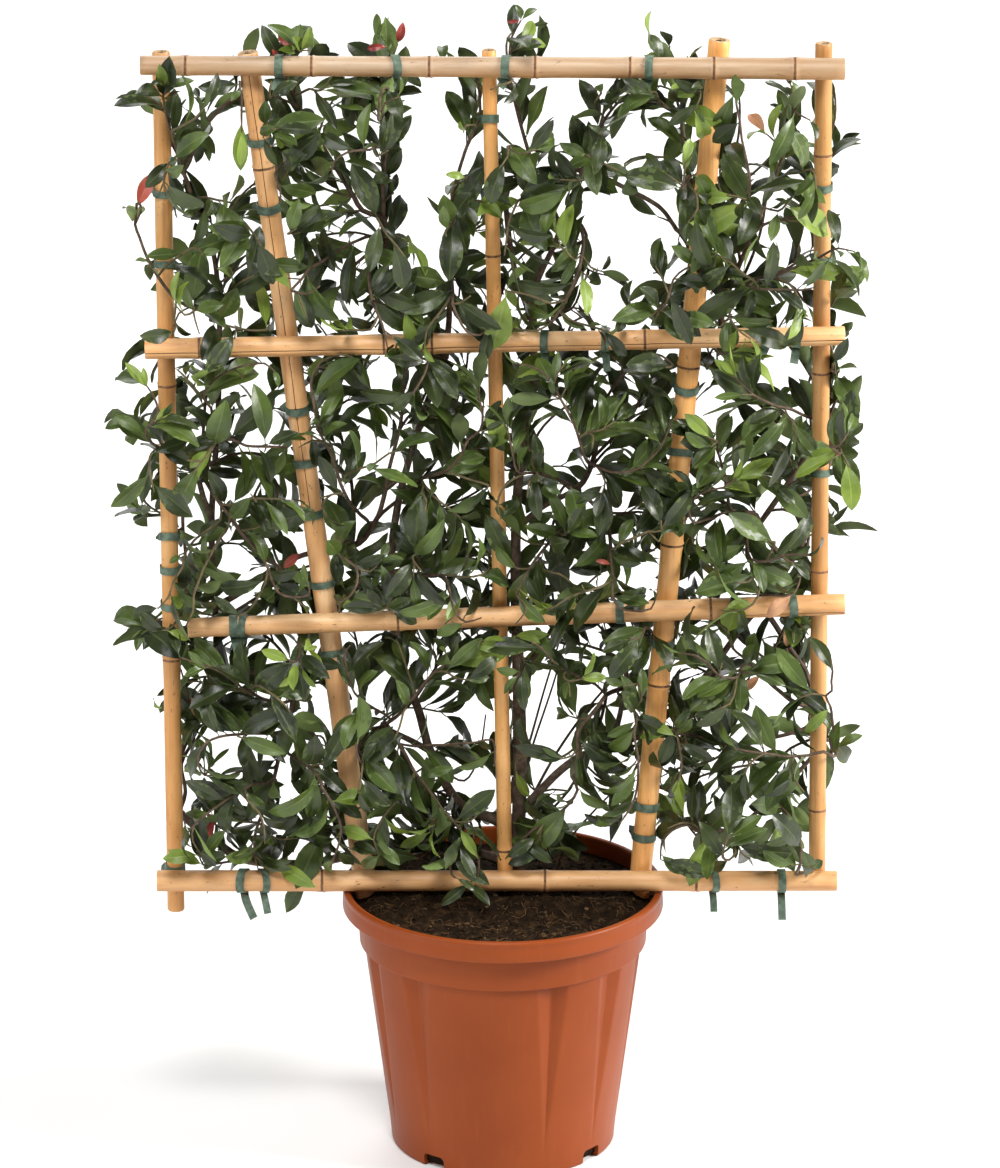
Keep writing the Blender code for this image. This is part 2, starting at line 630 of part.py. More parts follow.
def touches(mesh_points, mesh_faces, tree):
    return bool(BVHTree.FromPolygons(mesh_points, mesh_faces).overlap(tree))


def rings_of_twig(path, radii):
    """Three-sided rings along a twig, turned as little as possible from one to the next."""
    heading = (path[1] - path[0]).normalized()
    side = heading.orthogonal().normalized()
    rings = []
    for k, (place, radius) in enumerate(zip(path, radii)):
        before = path[max(k - 1, 0)]
        after = path[min(k + 1, len(path) - 1)]
        heading = (after - before).normalized()
        side = (side - heading * side.dot(heading)).normalized()
        other = heading.cross(side)
        rings.append([
            place + radius * (side * math.cos(a) + other * math.sin(a))
            for a in (0.0, math.tau / 3, 2 * math.tau / 3)
        ])
    return rings


def prism(start, end, radius):
    """Points and faces of a thin three-sided bar, to test a step of a twig."""
    low, high = rings_of_twig([start, end], [radius, radius])
    sides = [(0, 1, 4, 3), (1, 2, 5, 4), (2, 0, 3, 5), (2, 1, 0), (3, 4, 5)]
    return low + high, sides


def grow_joints(start, heading, goals, space, skin, rng):
    """Grows joints step by step towards the goals, each pulled by the goals nearest to it."""
    joints = [start, start + heading * TWIG_STEP * 0.6]
    parents = [-1, 0]
    waiting = list(goals)
    for _ in range(GROWTH_ROUNDS):
        pulls = {}
        for goal in waiting:
            near = min(range(1, len(joints)), key=lambda i: (joints[i] - goal).length_squared)
            pulls.setdefault(near, []).append(goal)
        for near, pulling in pulls.items():
            origin = joints[near]
            drift = sum(((goal - origin).normalized() for goal in pulling), Vector())
            if drift.length < 0.3:
                drift = pulling[0] - origin
            ahead = (origin - joints[parents[near]]).normalized()
            wander = Vector((rng.uniform(-1, 1), rng.uniform(-1, 1), rng.uniform(-1, 1)))
            drift = drift.normalized() + 0.35 * ahead + 0.12 * wander + Vector((0, 0, 0.10))
            ahead = origin + drift.normalized() * TWIG_STEP
            blocked = not space.holds(ahead) or touches(*prism(origin, ahead, TWIG_ROOM), skin)
            crowded = any((ahead - other).length < 0.5 * TWIG_STEP for other in joints)
            if blocked or crowded:
                nearest = min(pulling, key=lambda goal: (goal - origin).length)
                waiting.remove(nearest)
                continue
            joints.append(ahead)
            parents.append(near)
        waiting = [
            goal for goal in waiting
            if all((goal - joint).length > GOAL_REACHED for joint in joints)
        ]
        if not waiting:
            break
    return joints, parents


def chains_of(joints, parents):
    """Splits the joints into twigs, the longest first, each starting on the twig it leaves."""
    children = {i: [] for i in range(len(joints))}
    for child, parent in enumerate(parents):
        if parent >= 0:
            children[parent].append(child)
    size = [1] * len(joints)
    for child in range(len(joints) - 1, 0, -1):
        size[parents[child]] += size[child]
    chains = []
    starts = [(0, None)]
    while starts:
        first, origin = starts.pop(0)
        chain = [first] if origin is None else [origin, first]
        while children[chain[-1]]:
            ordered = sorted(children[chain[-1]], key=lambda i: -size[i])
            starts += [(other, chain[-1]) for other in ordered[1:]]
            chain.append(ordered[0])
        chains.append(chain)
    return chains, children, size


def leaf_shape(root, tip, face_up, width):
    """Points and faces of a leaf: a kite whose widest line lies above its midrib, sharp at its edges."""
    along = (tip - root).normalized()
    up = (face_up - along * face_up.dot(along)).normalized()
    side = up.cross(along)
    widest = root.lerp(tip, LEAF_WIDEST) + up * LEAF_ARCH
    points = [root, tip, widest + side * width / 2, widest - side * width / 2]
    return points, [(0, 3, 2), (1, 2, 3), (0, 2, 1), (0, 1, 3)]


def mesh_of(name, points, faces):
    bm = bmesh.new()
    made = [bm.verts.new(point) for point in points]
    for face in faces:
        bm.faces.new([made[i] for i in face])
    return mesh_from(name, bm)


def twig_tree(paths):
    """A search tree of a mass's twigs."""
    places, faces = [], []
    for path, radii in paths:
        for start, end, radius in zip(path, path[1:], radii):
            points, sides = prism(start, end, radius)
            faces += [[len(places) + index for index in side] for side in sides]
            places += points
    return BVHTree.FromPolygons(places, faces)


class Foliage:
    """The leaves of one mass, each clear of the frame, the limbs, the twigs it passes and other leaves."""

    def __init__(self, space, skin, twigs):
        self.space = space
        self.skin = skin
        self.twigs = twigs
        self.leaves = []
        self.trees = []

    def add(self, root, tip, face_up, width):
        points, faces = leaf_shape(root, tip, face_up, width)
        if not all(self.space.holds(point) for point in points):
            return False
        blade_root = root.lerp(tip, LEAF_ROOT_CLEAR)
        blade, _ = leaf_shape(blade_root, tip, face_up, width)
        if touches(points, faces, self.skin) or touches(blade, faces, self.twigs):
            return False
        tree = BVHTree.FromPolygons(points, faces)
        if any(tree.overlap(other) for other in self.trees):
            return False
        self.trees.append(tree)
        self.leaves.append((points, faces))
        return True

    def grow_leaf(self, place, heading, turn, length, rng):
        """Tries a few turns round the twig until a leaf of this length finds room."""
        side = heading.orthogonal().normalized()
        other = heading.cross(side)
        for attempt in range(LEAF_TURNS):
            angle = turn + attempt * GOLDEN_ANGLE
            outward = side * math.cos(angle) + other * math.sin(angle)
            lean = rng.uniform(0.70, 1.15)
            along = heading * math.cos(lean) + outward * math.sin(lean) + Vector((0, 0, 0.12))
            along.normalize()
            tip = place + along * length
            face_up = Vector((0, -0.55, 0.75)) + 0.5 * heading
            if in_sky(place.lerp(tip, 0.6)):
                continue
            if self.add(place, tip, face_up, LEAF_WIDTH * length / LEAF_LENGTH):
                return True
        return False

    def reach_tip(self, goal, places):
        """A leaf from the nearest free place on a twig out to one of the crown's furthest tips."""
        for place in sorted(places, key=lambda p: (p - goal).length)[:12]:
            reach = (goal - place).length
            if TIP_LEAF_SHORTEST < reach < TIP_LEAF_LONGEST:
                width = LEAF_WIDTH * min(reach / LEAF_LENGTH, 1.0)
                if self.add(place, goal, Vector((0.1, -0.6, 0.7)), width):
                    return True
        return False


def union_of(name, pieces, solver):
    """The mesh that one Boolean union on a collection makes of overlapping closed meshes."""
    joined = bpy.data.collections.new(name + "_pieces")
    bpy.context.scene.collection.children.link(joined)
    base = add_object(name + "_base", pieces[0], bpy.context.scene.collection)
    for k, mesh in enumerate(pieces[1:]):
        add_object(f"{name}_piece_{k}", mesh, joined)
    union = base.modifiers.new("union", "BOOLEAN")
    union.operation = "UNION"
    union.operand_type = "COLLECTION"
    union.collection = joined
    union.solver = solver
    graph = bpy.context.evaluated_depsgraph_get()
    solid = bpy.data.meshes.new_from_object(base.evaluated_get(graph))
    for piece in [base, *joined.objects]:
        bpy.data.objects.remove(piece)
    bpy.data.collections.remove(joined)
    keep_largest_shell(solid)
    return solid


def is_sound(mesh):
    """True if every edge joins two faces, also after points that all but coincide are joined."""
    bm = bmesh.new()
    bm.from_mesh(mesh)
    bmesh.ops.remove_doubles(bm, verts=bm.verts, dist=WELD)
    sound = all(edge.is_manifold for edge in bm.edges) and all(face.calc_area() > 1e-13 for face in bm.faces)
    bm.free()
    return sound


def fuse(name, twigs, leaves, parts, finish):
    """Joins a mass's twigs and leaves into one body. If that fails twice, it gets one leaf fewer."""
    while True:
        pieces = twigs + leaves
        for solver in ("EXACT", "MANIFOLD"):
            solid = union_of(name, pieces, solver)
            if is_sound(solid):
                solid.name = name
                solid.materials.clear()
                return add_object(name, solid, parts, finish)
        leaves = leaves[:-1]


def shell_volume(faces):
    volume = 0.0
    for face in faces:
        corners = [vertex.co for vertex in face.verts]
        for b, c in zip(corners[1:], corners[2:]):
            volume += corners[0].dot(b.cross(c)) / 6
    return volume


def keep_largest_shell(mesh):
    """Drops loose scraps and fills hollows that the union sealed."""
    bm = bmesh.new()
    bm.from_mesh(mesh)
    unseen = set(bm.faces)
    shells = []
    while unseen:
        stack = [unseen.pop()]
        shell = []
        while stack:
            face = stack.pop()
            shell.append(face)
            for edge in face.edges:
                for other in edge.link_faces:
                    if other in unseen:
                        unseen.remove(other)
                        stack.append(other)
        shells.append(shell)
    shells.sort(key=shell_volume)
    for shell in shells[:-1]:
        bmesh.ops.delete(bm, geom=shell, context="FACES")
    bm.to_mesh(mesh)
    bm.free()


def twig_paths(chains, joints, children, size, tip_radius, skin):
    """Each twig's points and radii: a twig starts thin inside the one that it leaves."""
    paths = []
    for chain in chains:
        last = len(chain) - 1
        kept = [
            i for k, i in enumerate(chain)
            if k in (0, 1, last) or len(children[i]) > 1 or k % 3 == 0
        ]
        steps = list(zip(kept, kept[1:]))[1:]
        if any(touches(*prism(joints[a], joints[b], TWIG_ROOM), skin) for a, b in steps):
            kept = chain
        radii = [TWIG_RADIUS + TWIG_GAIN * math.sqrt(size[i]) for i in kept]
        radii[0] = min(radii[0], tip_radius) if chain[0] == 0 else 0.45 * radii[0]
        radii[-1] = TWIG_RADIUS
        paths.append(([joints[i] for i in kept], radii))
    return paths


def leaf_places(paths, rng):
    """Places for leaves along the twigs, those near a twig's tip first."""
    places = []
    for path, _ in paths:
        run = LEAF_SINK
        for k in range(len(path) - 1, 0, -1):
            start, end = path[k], path[k - 1]
            heading = (start - end).normalized()
            length = (end - start).length
            while run < length:
                rank = rng.random() + TIP_CROWDING * run * (k == len(path) - 1)
                places.append((rank, start.lerp(end, run / length), heading))
                run += LEAF_PITCH
            run -= length
    return sorted(places, key=lambda place: place[0])


def make_mass(name, shapes, skin, parts, finish):
    bough, columns, rows, seed, most_leaves = MASSES[name]
    rng = random.Random(seed)
    space = Space(columns, rows)
    (before, _), (tip, tip_radius) = shapes[bough][-2:]
    heading = (tip - before).normalized()
    start = tip + heading * GAP
    outline = [Vector(point) for point in TIPS if space.holds(Vector(point))]
    goals = space.goals(rng)
    for goal in outline:
        nearest = min(goals, key=lambda other: (other - goal).length)
        goals.append(goal + (nearest - goal).normalized() * LEAF_LENGTH * 0.8)
    joints, parents = grow_joints(start, heading, goals, space, skin, rng)
    chains, children, size = chains_of(joints, parents)
    paths = twig_paths(chains, joints, children, size, tip_radius, skin)
    twigs = [loft(name, rings_of_twig(*path)) for path in paths]
    foliage = Foliage(space, skin, twig_tree(paths))
    places = leaf_places(paths, rng)
    for goal in outline:
        foliage.reach_tip(goal, [place for _, place, _ in places])
    for k, (_, place, heading) in enumerate(places):
        if len(foliage.leaves) >= most_leaves:
            break
        length = LEAF_LENGTH * rng.uniform(0.82, 1.08)
        foliage.grow_leaf(place, heading, k * GOLDEN_ANGLE, length, rng)
    leaves = [mesh_of(name, *leaf) for leaf in foliage.leaves]
    return fuse(name, twigs, leaves, parts, finish)


def main():
    for made in list(bpy.data.objects):
        bpy.data.objects.remove(made)
    parts = bpy.data.collections.new("potted_photinia")
    cutters = bpy.data.collections.new("cutters")
    for collection in (parts, cutters):
        bpy.context.scene.collection.children.link(collection)
    terracotta = material("terracotta_plastic", (0.52, 0.17, 0.07), 0.45)
    earth = material("soil", (0.045, 0.028, 0.018), 0.95)
    bamboo = material("bamboo", (0.62, 0.40, 0.20), 0.5)
    bark = material("bark", (0.11, 0.075, 0.05), 0.85)
    green = material("green_tie", (0.045, 0.11, 0.07), 0.6)
    leaf = material("leaf", (0.035, 0.11, 0.03), 0.4)
    make_pot(parts, cutters, terracotta)
    make_soil(parts, earth)
    make_frame(parts, bamboo)
    make_ties(parts, green)
    shapes = make_limbs(parts, bark)
    bpy.context.view_layer.update()
    skin = skin_tree(list(parts.objects), CLEARANCE)
    for name in MASSES:
        make_mass(name, shapes, skin, parts, leaf)


main()
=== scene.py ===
"""Looks of a potted photinia trained flat on a bamboo frame. Metres, +Z up, the front faces -Y."""

import math
import random

import bpy
import numpy as np
from mathutils import Matrix, Vector, noise
from mathutils.bvhtree import BVHTree


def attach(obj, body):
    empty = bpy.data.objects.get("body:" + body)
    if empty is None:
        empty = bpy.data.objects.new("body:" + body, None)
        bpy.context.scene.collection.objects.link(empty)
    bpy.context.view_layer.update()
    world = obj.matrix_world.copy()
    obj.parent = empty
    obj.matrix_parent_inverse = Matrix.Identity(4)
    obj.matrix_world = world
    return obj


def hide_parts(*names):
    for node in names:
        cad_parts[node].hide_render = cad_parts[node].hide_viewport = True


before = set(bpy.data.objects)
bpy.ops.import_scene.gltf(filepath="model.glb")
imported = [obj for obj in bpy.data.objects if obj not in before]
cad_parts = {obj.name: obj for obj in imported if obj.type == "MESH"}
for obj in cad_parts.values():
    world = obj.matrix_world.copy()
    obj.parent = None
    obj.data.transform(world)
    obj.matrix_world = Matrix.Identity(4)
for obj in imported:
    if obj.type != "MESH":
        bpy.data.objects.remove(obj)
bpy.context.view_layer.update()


def metres(per_metre, entry):
    """The same table with its whole numbers turned into metres; its other numbers and names stay."""
    if isinstance(entry, dict):
        return {name: metres(per_metre, part) for name, part in entry.items()}
    if isinstance(entry, tuple):
        return tuple(metres(per_metre, part) for part in entry)
    return entry / per_metre if isinstance(entry, int) else entry


# Tables give places and radii in millimetres or in tenths of a millimetre
WHOLE = 1000
TENTHS = 10000
FRONT = Vector((0, -1, 0))
DOWN = Vector((0, 0, -1))

# Camera: above and in front, looking down, as in the photograph (its frame is 1000 x 1168)
CAMERA_PLACE = (-0.0027, -6.3328, 2.7733)
CAMERA_PITCH = 0.3375
CAMERA_FOCUS = 7281.9
FRAME_LONG_SIDE = 1168
SENSOR = 36.0

# Lights: place, target, size, power and colour
LIGHTS = (
    ("key", (4.35, -0.8, 2.75), (0, 0, 0.6), 1.8, 410, (1.0, 0.985, 0.96)),
    ("fill", (-3.32, -1.76, 1.97), (0, 0, 0.6), 2.0, 75, (1, 1, 1)),
    ("top", (-0.3, -3.2, 5.2), (0, 0, 0.6), 1.8, 215, (1, 1, 1)),
    ("back", (0.0, 3.6, 3.0), (0, 2.8, 0), 3.2, 110, (1, 1, 1)),
)

# Pot
POT_HEIGHT = 0.255
RIM_RADIUS = 0.15
FOOT_RADIUS = 0.105
WALL = 0.003
SOIL_TOP = 0.239
SOIL_RISE = 0.014
GAP = 0.0003
GROUND = SOIL_TOP + GAP
BODY_FOOT_RADIUS = 0.1066
BODY_TOP_RADIUS = 0.13
FLUTE_FOOT = 0.02
FLUTE_TOP = 0.1995
FLUTE_WIDTH = 0.031
FLUTE_DEPTH = 0.006
FLUTE_SOFTNESS = 0.004
FLUTES = 12
FLUTE_PITCH = math.radians(30)
FIRST_FLUTE = math.radians(21)
FLUTES_SKIPPED = (5, 11)
NARROWEST_FLUTE = math.radians(1.2)
COLLAR_RADIUS = 0.1355
COLLAR_STEP = 0.2
RIM_FOOT = 0.2345
RIM_INNER = 0.1442
NOTCHES = 4
NOTCH_START = 0.094
NOTCH_LENGTH = 0.02
FIRST_NOTCH = math.radians(7)
POT_COLUMNS = 480
NOTCH_OUTLINE = metres(TENTHS, (
    (-118, -40), (118, -40), (116, 100), (104, 124), (82, 136), (-82, 136), (-104, 124), (-116, 100),
))
FOOT_ROUND = 0.003
STEP_ROUND = 0.0011
EDGE_ROUND = 0.0012
LIP = 0.0034
GATE_PATH = metres(TENTHS * 10, ((0, -12155, 14550), (0, -12255, 14540), (0, -12275, 14540)))
GATE_RADII = (0.0024, 0.0024, 0.0017)

# Soil
BED_REACH = RIM_INNER - 0.0024
BED_RINGS = 60
CRUMBS = 1500
CRUMB_SIZES = (0.0006, 0.0008, 0.0011, 0.0015, 0.0021)
CRUMB_REACH = 0.139
FIBRES = 700
FIBRE_START_REACH = 0.136
FIBRE_STEPS = 4

# Bamboo frame: fronts of the upright canes lie in one plane that leans back a little
FRAME_FOOT = 0.265
FRAME_FOOT_Y = -0.0122
FRAME_LEAN = 0.0192
CANE_SIDES = 64
CANE_STEP = 0.006
END_ROUND = 0.0012
RING_ROOM = 0.007
RING_RUNS = (0.0005, 0.0012, 0.0024, 0.004, 0.006)
# A ring's swelling: how high each ridge or groove is, its place along the cane and how wide it is
RING_SHAPE = ((0.08, 0.0016, 0.0015), (0.045, -0.0018, 0.0022), (-0.06, 0.0, 0.0008), (0.035, 0.0, 0.012))
CRACK_DEPTH = 0.0007
# The hollow of a cut end: share of the cane's radius and depth
HOLLOW = ((0.62, 0.0), (0.58, 0.002), (0.55, 0.01))
# Material slots of a cane after its skin; the crack slot's dark colour is painted shade, in a split and deep
# in the hollow of each cut end
RING_SLOT, CUT_SLOT, CRACK_SHADE_SLOT = 1, 2, 3

# Upright canes: the (x, z) of both ends, their radii, the heights of the rings, and a crack's turn and run
UPRIGHTS = metres(TENTHS, {
    "cane_left": ((-3058, 2300), (-3080, 10550), 80, 80, (4780, 7420), None),
    "cane_inner_left": (
        (-1270, GROUND), (-2300, 10540), 104, 94, (3330, 4010, 7206, 8581, 9472), (-0.15, 6200, 10450)),
    "cane_middle": ((26, GROUND), (-126, 10570), 70, 65, (2900, 6016, 8656, 9257), None),
    "cane_inner_right": ((1265, GROUND), (1950, 10656), 100, 98, (3000, 4530, 5891, 7597, 9200), None),
    "cane_right": ((2934, 2520), (2887, 10630), 78, 78, (3300, 5639, 7540, 9593), None),
})

# Cross bars, top to bottom, in the same way with places along x
BARS = metres(TENTHS, {
    "bar_top": ((-3260, 10470), (3072, 10440), 88, 100, (-2853, -1722, -664, 287, 1139, 1893, 2619), None),
    "bar_upper": ((-3256, 7817), (3109, 7940), 94, 88, (-2760, -1080, -645, 1290), (0.2, -3300, 3200)),
    "bar_lower": ((-2901, 5141), (3147, 5374), 90, 98, (-965, 520, 1913), (0.55, 2150, 3100)),
    "bar_foot": ((-3223, 2659), (3113, 2655), 100, 95, (-1683, 392, 1800), None),
})

# Tones of the bamboo: dark, middle, pale and fibres
PALE_TONES = ((0.54, 0.27, 0.098), (0.67, 0.368, 0.157), (0.77, 0.5, 0.26), (0.44, 0.18, 0.054))
CREAM_TONES = ((0.5, 0.3, 0.15), (0.62, 0.415, 0.245), (0.72, 0.54, 0.37), (0.42, 0.205, 0.082))
GOLD_TONES = ((0.5, 0.222, 0.058), (0.62, 0.305, 0.092), (0.7, 0.395, 0.15), (0.36, 0.138, 0.034))
ROSY_TONES = ((0.5, 0.245, 0.084), (0.62, 0.34, 0.146), (0.68, 0.455, 0.245), (0.37, 0.155, 0.05))

# Each cane's tones and how light it is; the lightness is partly the cane's own and partly painted light:
# canes in the leaves' shade are made lighter, and the top bar, strongly lit from above, darker
CANE_TONES_AND_PAINTED_LIGHT = {
    "cane_left": (GOLD_TONES, 0.94), "cane_inner_left": (ROSY_TONES, 1.36), "cane_middle": (GOLD_TONES, 1.3),
    "cane_inner_right": (GOLD_TONES, 1.38), "cane_right": (GOLD_TONES, 0.8), "bar_top": (CREAM_TONES, 0.67),
    "bar_upper": (PALE_TONES, 1.22), "bar_lower": (PALE_TONES, 1.16), "bar_foot": (PALE_TONES, 1.0),
}

# Ties of each cane: the place along it, the tail's length and, on an upright cane, the tail's turn round
# the cane and its droop; last the CAD node, if it has one
TIE_WIDTH = 0.008
TIE_THICK = 0.0005
WRAP_STEPS = 44
WRAP_TURNS = math.tau * 1.1
TAIL_STEPS = 8
TIES = metres(TENTHS, {
    "cane_left": (
        (9250, 100, 0.2, 0.0), (8570, 140, 2.6, 0.1, "tie_left_upper"), (5965, 60, 0.4, 0.0),
        (5653, 120, 2.8, 0.2), (5311, 100, 2.9, 0.1), (2730, 260, 0.3, 0.3)),
    "cane_inner_left": (
        (9720, 100, 0.2, 0.1), (9110, 160, 0.3, 0.2), (7204, 80, 0.1, 0.0), (6674, 100, 3.0, 0.1),
        (6189, 80, 0.2, 0.0), (5507, 120, 0.3, 0.1), (4820, 100, 2.9, 0.1, "tie_inner_left_lower")),
    "cane_middle": (
        (9930, 140, 0.2, 0.1, "tie_middle"), (9157, 100, 0.2, 0.0), (5897, 160, 0.3, 0.5)),
    "cane_inner_right": (
        (7396, 100, 0.3, 0.1), (6770, 120, 0.2, 0.1, "tie_inner_right_upper"), (4947, 140, 0.2, 0.0),
        (3331, 80, 0.1, 0.1), (3031, 140, 0.4, 0.1)),
    "cane_right": (
        (9298, 100, 0.2, 0.0), (8620, 120, 0.3, 0.2, "tie_right"), (6577, 140, 2.8, 0.3)),
    "bar_top": (
        (-2010, 160, "tie_bar_top"), (-973, 120), (27, 120), (1316, 100)),
    "bar_upper": (
        (384, 180), (930, 220, "tie_bar_upper"), (2391, 140), (2665, 180)),
    "bar_lower": (
        (-2479, 200), (-2380, 140), (1080, 240, "tie_bar_lower"), (2130, 160), (2653, 140)),
    "bar_foot": (
        (-2420, 300, "tie_bar_foot_left"), (-2229, 240), (1960, 220, "tie_bar_foot_right"), (2595, 300)),
})

# Stems: parent, start radius and tip radius, points along the limb
LIMBS = metres(TENTHS, {
    "trunk": (None, 72, 30, (
        (142, 120, GROUND), (142, 120, 2425), (141, 130, 2831), (159, 140, 3929), (121, 150, 5311),
        (129, 160, 6286), (208, 180, 6906), (275, 190, 7569), (283, 200, 7923), (255, 200, 8200))),
    "bough_left": ("trunk", 46, 30, (
        (135, 150, 2880), (0, 260, 3030), (-316, 300, 3171), (-484, 300, 3331), (-679, 280, 3760),
        (-780, 260, 4148), (-954, 240, 4721), (-1040, 220, 5450), (-960, 220, 6250), (-740, 240, 7050),
        (-529, 240, 7617))),
    "bough_left_leader": ("bough_left", 28, 24, (
        (-545, 240, 7560), (-748, 240, 7761), (-1020, 230, 8209), (-1071, 220, 8650))),
    "bough_middle_leader": ("bough_left", 28, 24, (
        (-529, 240, 7617), (-495, 240, 7950), (-485, 230, 8300))),
    "bough_runner": ("trunk", 46, 38, (
        (130, 150, 2640), (-120, 340, 2680), (-600, 420, 2760), (-1200, 380, 2730), (-1828, 260, 2640),
        (-2407, 200, 2705), (-2750, 180, 2950), (-3028, 180, 3201), (-3089, 200, 3470))),
    "bough_loop": ("bough_runner", 36, 26, (
        (-3089, 200, 3470), (-3062, 200, 3620), (-2964, 200, 3889), (-2797, 200, 4346), (-2553, 210, 4564),
        (-2339, 220, 4583), (-2043, 220, 4484))),
    "bough_left_riser": ("bough_loop", 32, 25, (
        (-2600, 210, 4530), (-2660, 300, 5000), (-2690, 320, 6000), (-2620, 340, 7000),
        (-2590, 340, 8000))),
    "bough_left_cross": ("bough_left_riser", 27, 24, (
        (-2665, 300, 5180), (-2400, 300, 5340), (-1909, 300, 5663), (-1480, 280, 5760))),
    "spur_left": ("bough_left_riser", 26, 24, (
        (-2690, 320, 6050), (-2750, 220, 6250), (-2790, 140, 6450))),
    "spur_low_left": ("bough_left", 26, 24, (
        (-679, 280, 3760), (-880, 220, 3900), (-1050, 180, 4000))),
    "bough_leader": ("trunk", 28, 24, (
        (255, 200, 8200), (330, 180, 8420), (455, 140, 8700), (520, 100, 8900))),
    "bough_arch": ("trunk", 27, 24, (
        (270, 200, 7980), (120, 250, 8400), (40, 270, 8900), (46, 280, 9214), (227, 280, 9364),
        (489, 280, 9421))),
    "bough_arch_end": ("bough_arch", 23, 20, (
        (489, 280, 9421), (815, 280, 9364), (1124, 290, 9214), (1415, 300, 9044), (1560, 300, 8860))),
    "spur_middle": ("trunk", 27, 24, (
        (128, 160, 6000), (350, 200, 6180), (560, 200, 6300))),
    "bough_right": ("trunk", 40, 28, (
        (145, 140, 3180), (250, 180, 3290), (672, 260, 3681), (1285, 300, 3919), (1829, 300, 4425),
        (2213, 260, 4987), (2468, 240, 5311))),
    "bough_right_riser": ("bough_right", 30, 27, (
        (2468, 240, 5311), (2793, 260, 5897), (2986, 300, 6529), (3036, 320, 6838))),
    "bough_right_return": ("bough_right_riser", 26, 24, (
        (3036, 320, 6838), (2738, 300, 6925), (2399, 280, 7243), (2075, 280, 7569), (1980, 280, 7750),
        (2010, 280, 8050))),
    "spur_right": ("bough_right_riser", 26, 24, (
        (2640, 250, 5620), (2460, 200, 5850), (2370, 160, 6050))),
    "bough_right_drop": ("bough_right", 26, 23, (
        (2390, 250, 5210), (2509, 340, 5016), (2660, 360, 4760), (2812, 360, 4533), (2890, 340, 4300))),
    "spur_low_right": ("bough_right", 26, 24, (
        (1020, 280, 3820), (1080, 220, 4100), (1120, 160, 4350))),
})
LIMB_STEP = 0.004
LIMB_SIDES = 16
TRUNK_SIDES = 24
FLARE_RADIUS = 0.01
FLARE_HEIGHT = 0.022

# Foliage: the crown's limits, its masses and the rule by which twigs grow
CROWN_LEFT, CROWN_RIGHT = -0.3705, 0.3495
CROWN_TOP, CROWN_FOOT = 1.1045, 0.199
CROWN_FRONT, CROWN_BACK = -0.088, 0.098
BODY_LEFT, BODY_RIGHT = -0.335, 0.318
BODY_TOP, BODY_FOOT = 1.062, 0.262
CLEARANCE = 0.0005
DEPTH_MIDDLE = (CROWN_FRONT + CROWN_BACK) / 2
# Share of the crown's depth that is filled, and how much tufts add to it or take from it
DEPTH_SHARE = 0.78
TUFT_SHARE = 0.24

TWIG_STEP = 0.015
TWIG_RADIUS = 0.0008
TWIG_GAIN = 0.00017
TWIG_SIDES = 6
TWIG_ROOM = 0.0022
GOAL_SPACING = 0.034
GOAL_REACHED = 0.022
GOAL_TRIES = 4000
GOAL_MARGIN = 0.012
GOAL_SIDE_MARGIN = 0.04
GOAL_INSET = 0.01
GROWTH_ROUNDS = 110
STRAIGHTNESS = 0.75
WANDER = 0.16
LIFT = 0.3
GROWTH_TRIES = 4
MORE_WANDER = 0.35
WEAK_PULL = 0.3
JOINT_ROOM = 0.5
FIRST_STEP = 0.6
THROUGH_FRAME = 0.03
GOLDEN_ANGLE = math.radians(137.5)
INWARDS = Vector((0.0, 0.944, -0.331))
FRAME_DEPTH = 0.12
THICK_TWIG = 9

# Leaves
LEAF_LENGTH = 0.043
LEAF_SHARE = 0.38
LEAF_PITCH = 0.01
OVER_FRAME = 0.03
LEAF_THICK = 0.0003
PETIOLE = 0.005
PETIOLE_RADIUS = 0.00055
LEAF_ROWS = (0.0, 0.06, 0.17, 0.31, 0.46, 0.61, 0.76, 0.89, 1.0)
LEAF_COLUMNS = (-1.0, -0.52, -0.07, 0.07, 0.52, 1.0)
LEAF_TURNS = 5
# From and to: width, fold, arch, twist and ripple of a leaf, and its size as a share of the usual length
LEAF_WIDTHS = (0.8, 1.18)
LEAF_FOLDS = (0.25, 0.85)
LEAF_ARCHES = (-0.1, 1.35)
LEAF_TWISTS = (-0.5, 0.5)
LEAF_RIPPLES = (0.0, 0.16)
LEAF_SIZES = (0.62, 1.28)
STALK_IN_BLADE = 0.0015
STALK_SIDES = 4
# Points of a leaf's grid that are tested for hiding a cane; the blade's middle and tip are among them
SEEN_POINTS = (14, 24, 26, 29, 38, 50)
MIDDLE_POINT, TIP_POINT = 26, 50
NEAR_LEAVES = 0.05
# How far a leaf's tip may reach past its mass's room: along a twig, on a shoot, with a place of its own
SPARE = 0.012
SHOOT_SPARE = 0.03
PLACED_SPARE = 0.05
OVERHANG_SPARE = 0.02

# Leaves with a place of their own: which way they face, how long they are and from how far they come
OUTLINE_FACING = Vector((0.1, -0.6, 0.7))
SPECIAL_FACING = Vector((0.1, -0.7, 0.4))
OVERHANG_FACING = Vector((0.1, -0.8, 0.35))
OUTLINE_NEAR, OUTLINE_FAR = 0.02, 0.09
OUTLINE_SHARE = 0.86
LONGEST_LEAF = 0.062
OVERHANG_SHORTEST, OVERHANG_LONGEST = 0.032, 0.056
OVERHANG_SHARE = 1.25
OVERHANG_LEAVES = 2
OVERHANG_MARGIN = 0.006

# How much freedom a leaf has past the crown's limits: none, as on a shoot, or as one with its own place
BOUND, ON_SHOOT, PLACED = 0, 1, 2

# Leaves along a twig, from its tip: a close rosette, then a looser row that thins out
ROSETTE = 5
ROSETTE_PITCH = 0.34
SMALL_TIPS = 2
SMALL_SHARE = 0.62
FIRST_LEAF = 0.002
ROSETTE_LEANS = (0.35, 0.8)
LEANS = (0.65, 1.15)
LEAFY_COUNT = 18
THIN_SHARE = 0.3
SHOOT_SHARE = 0.6
YOUNG_SHARE = 0.16
GREEN_SHARE = 0.42

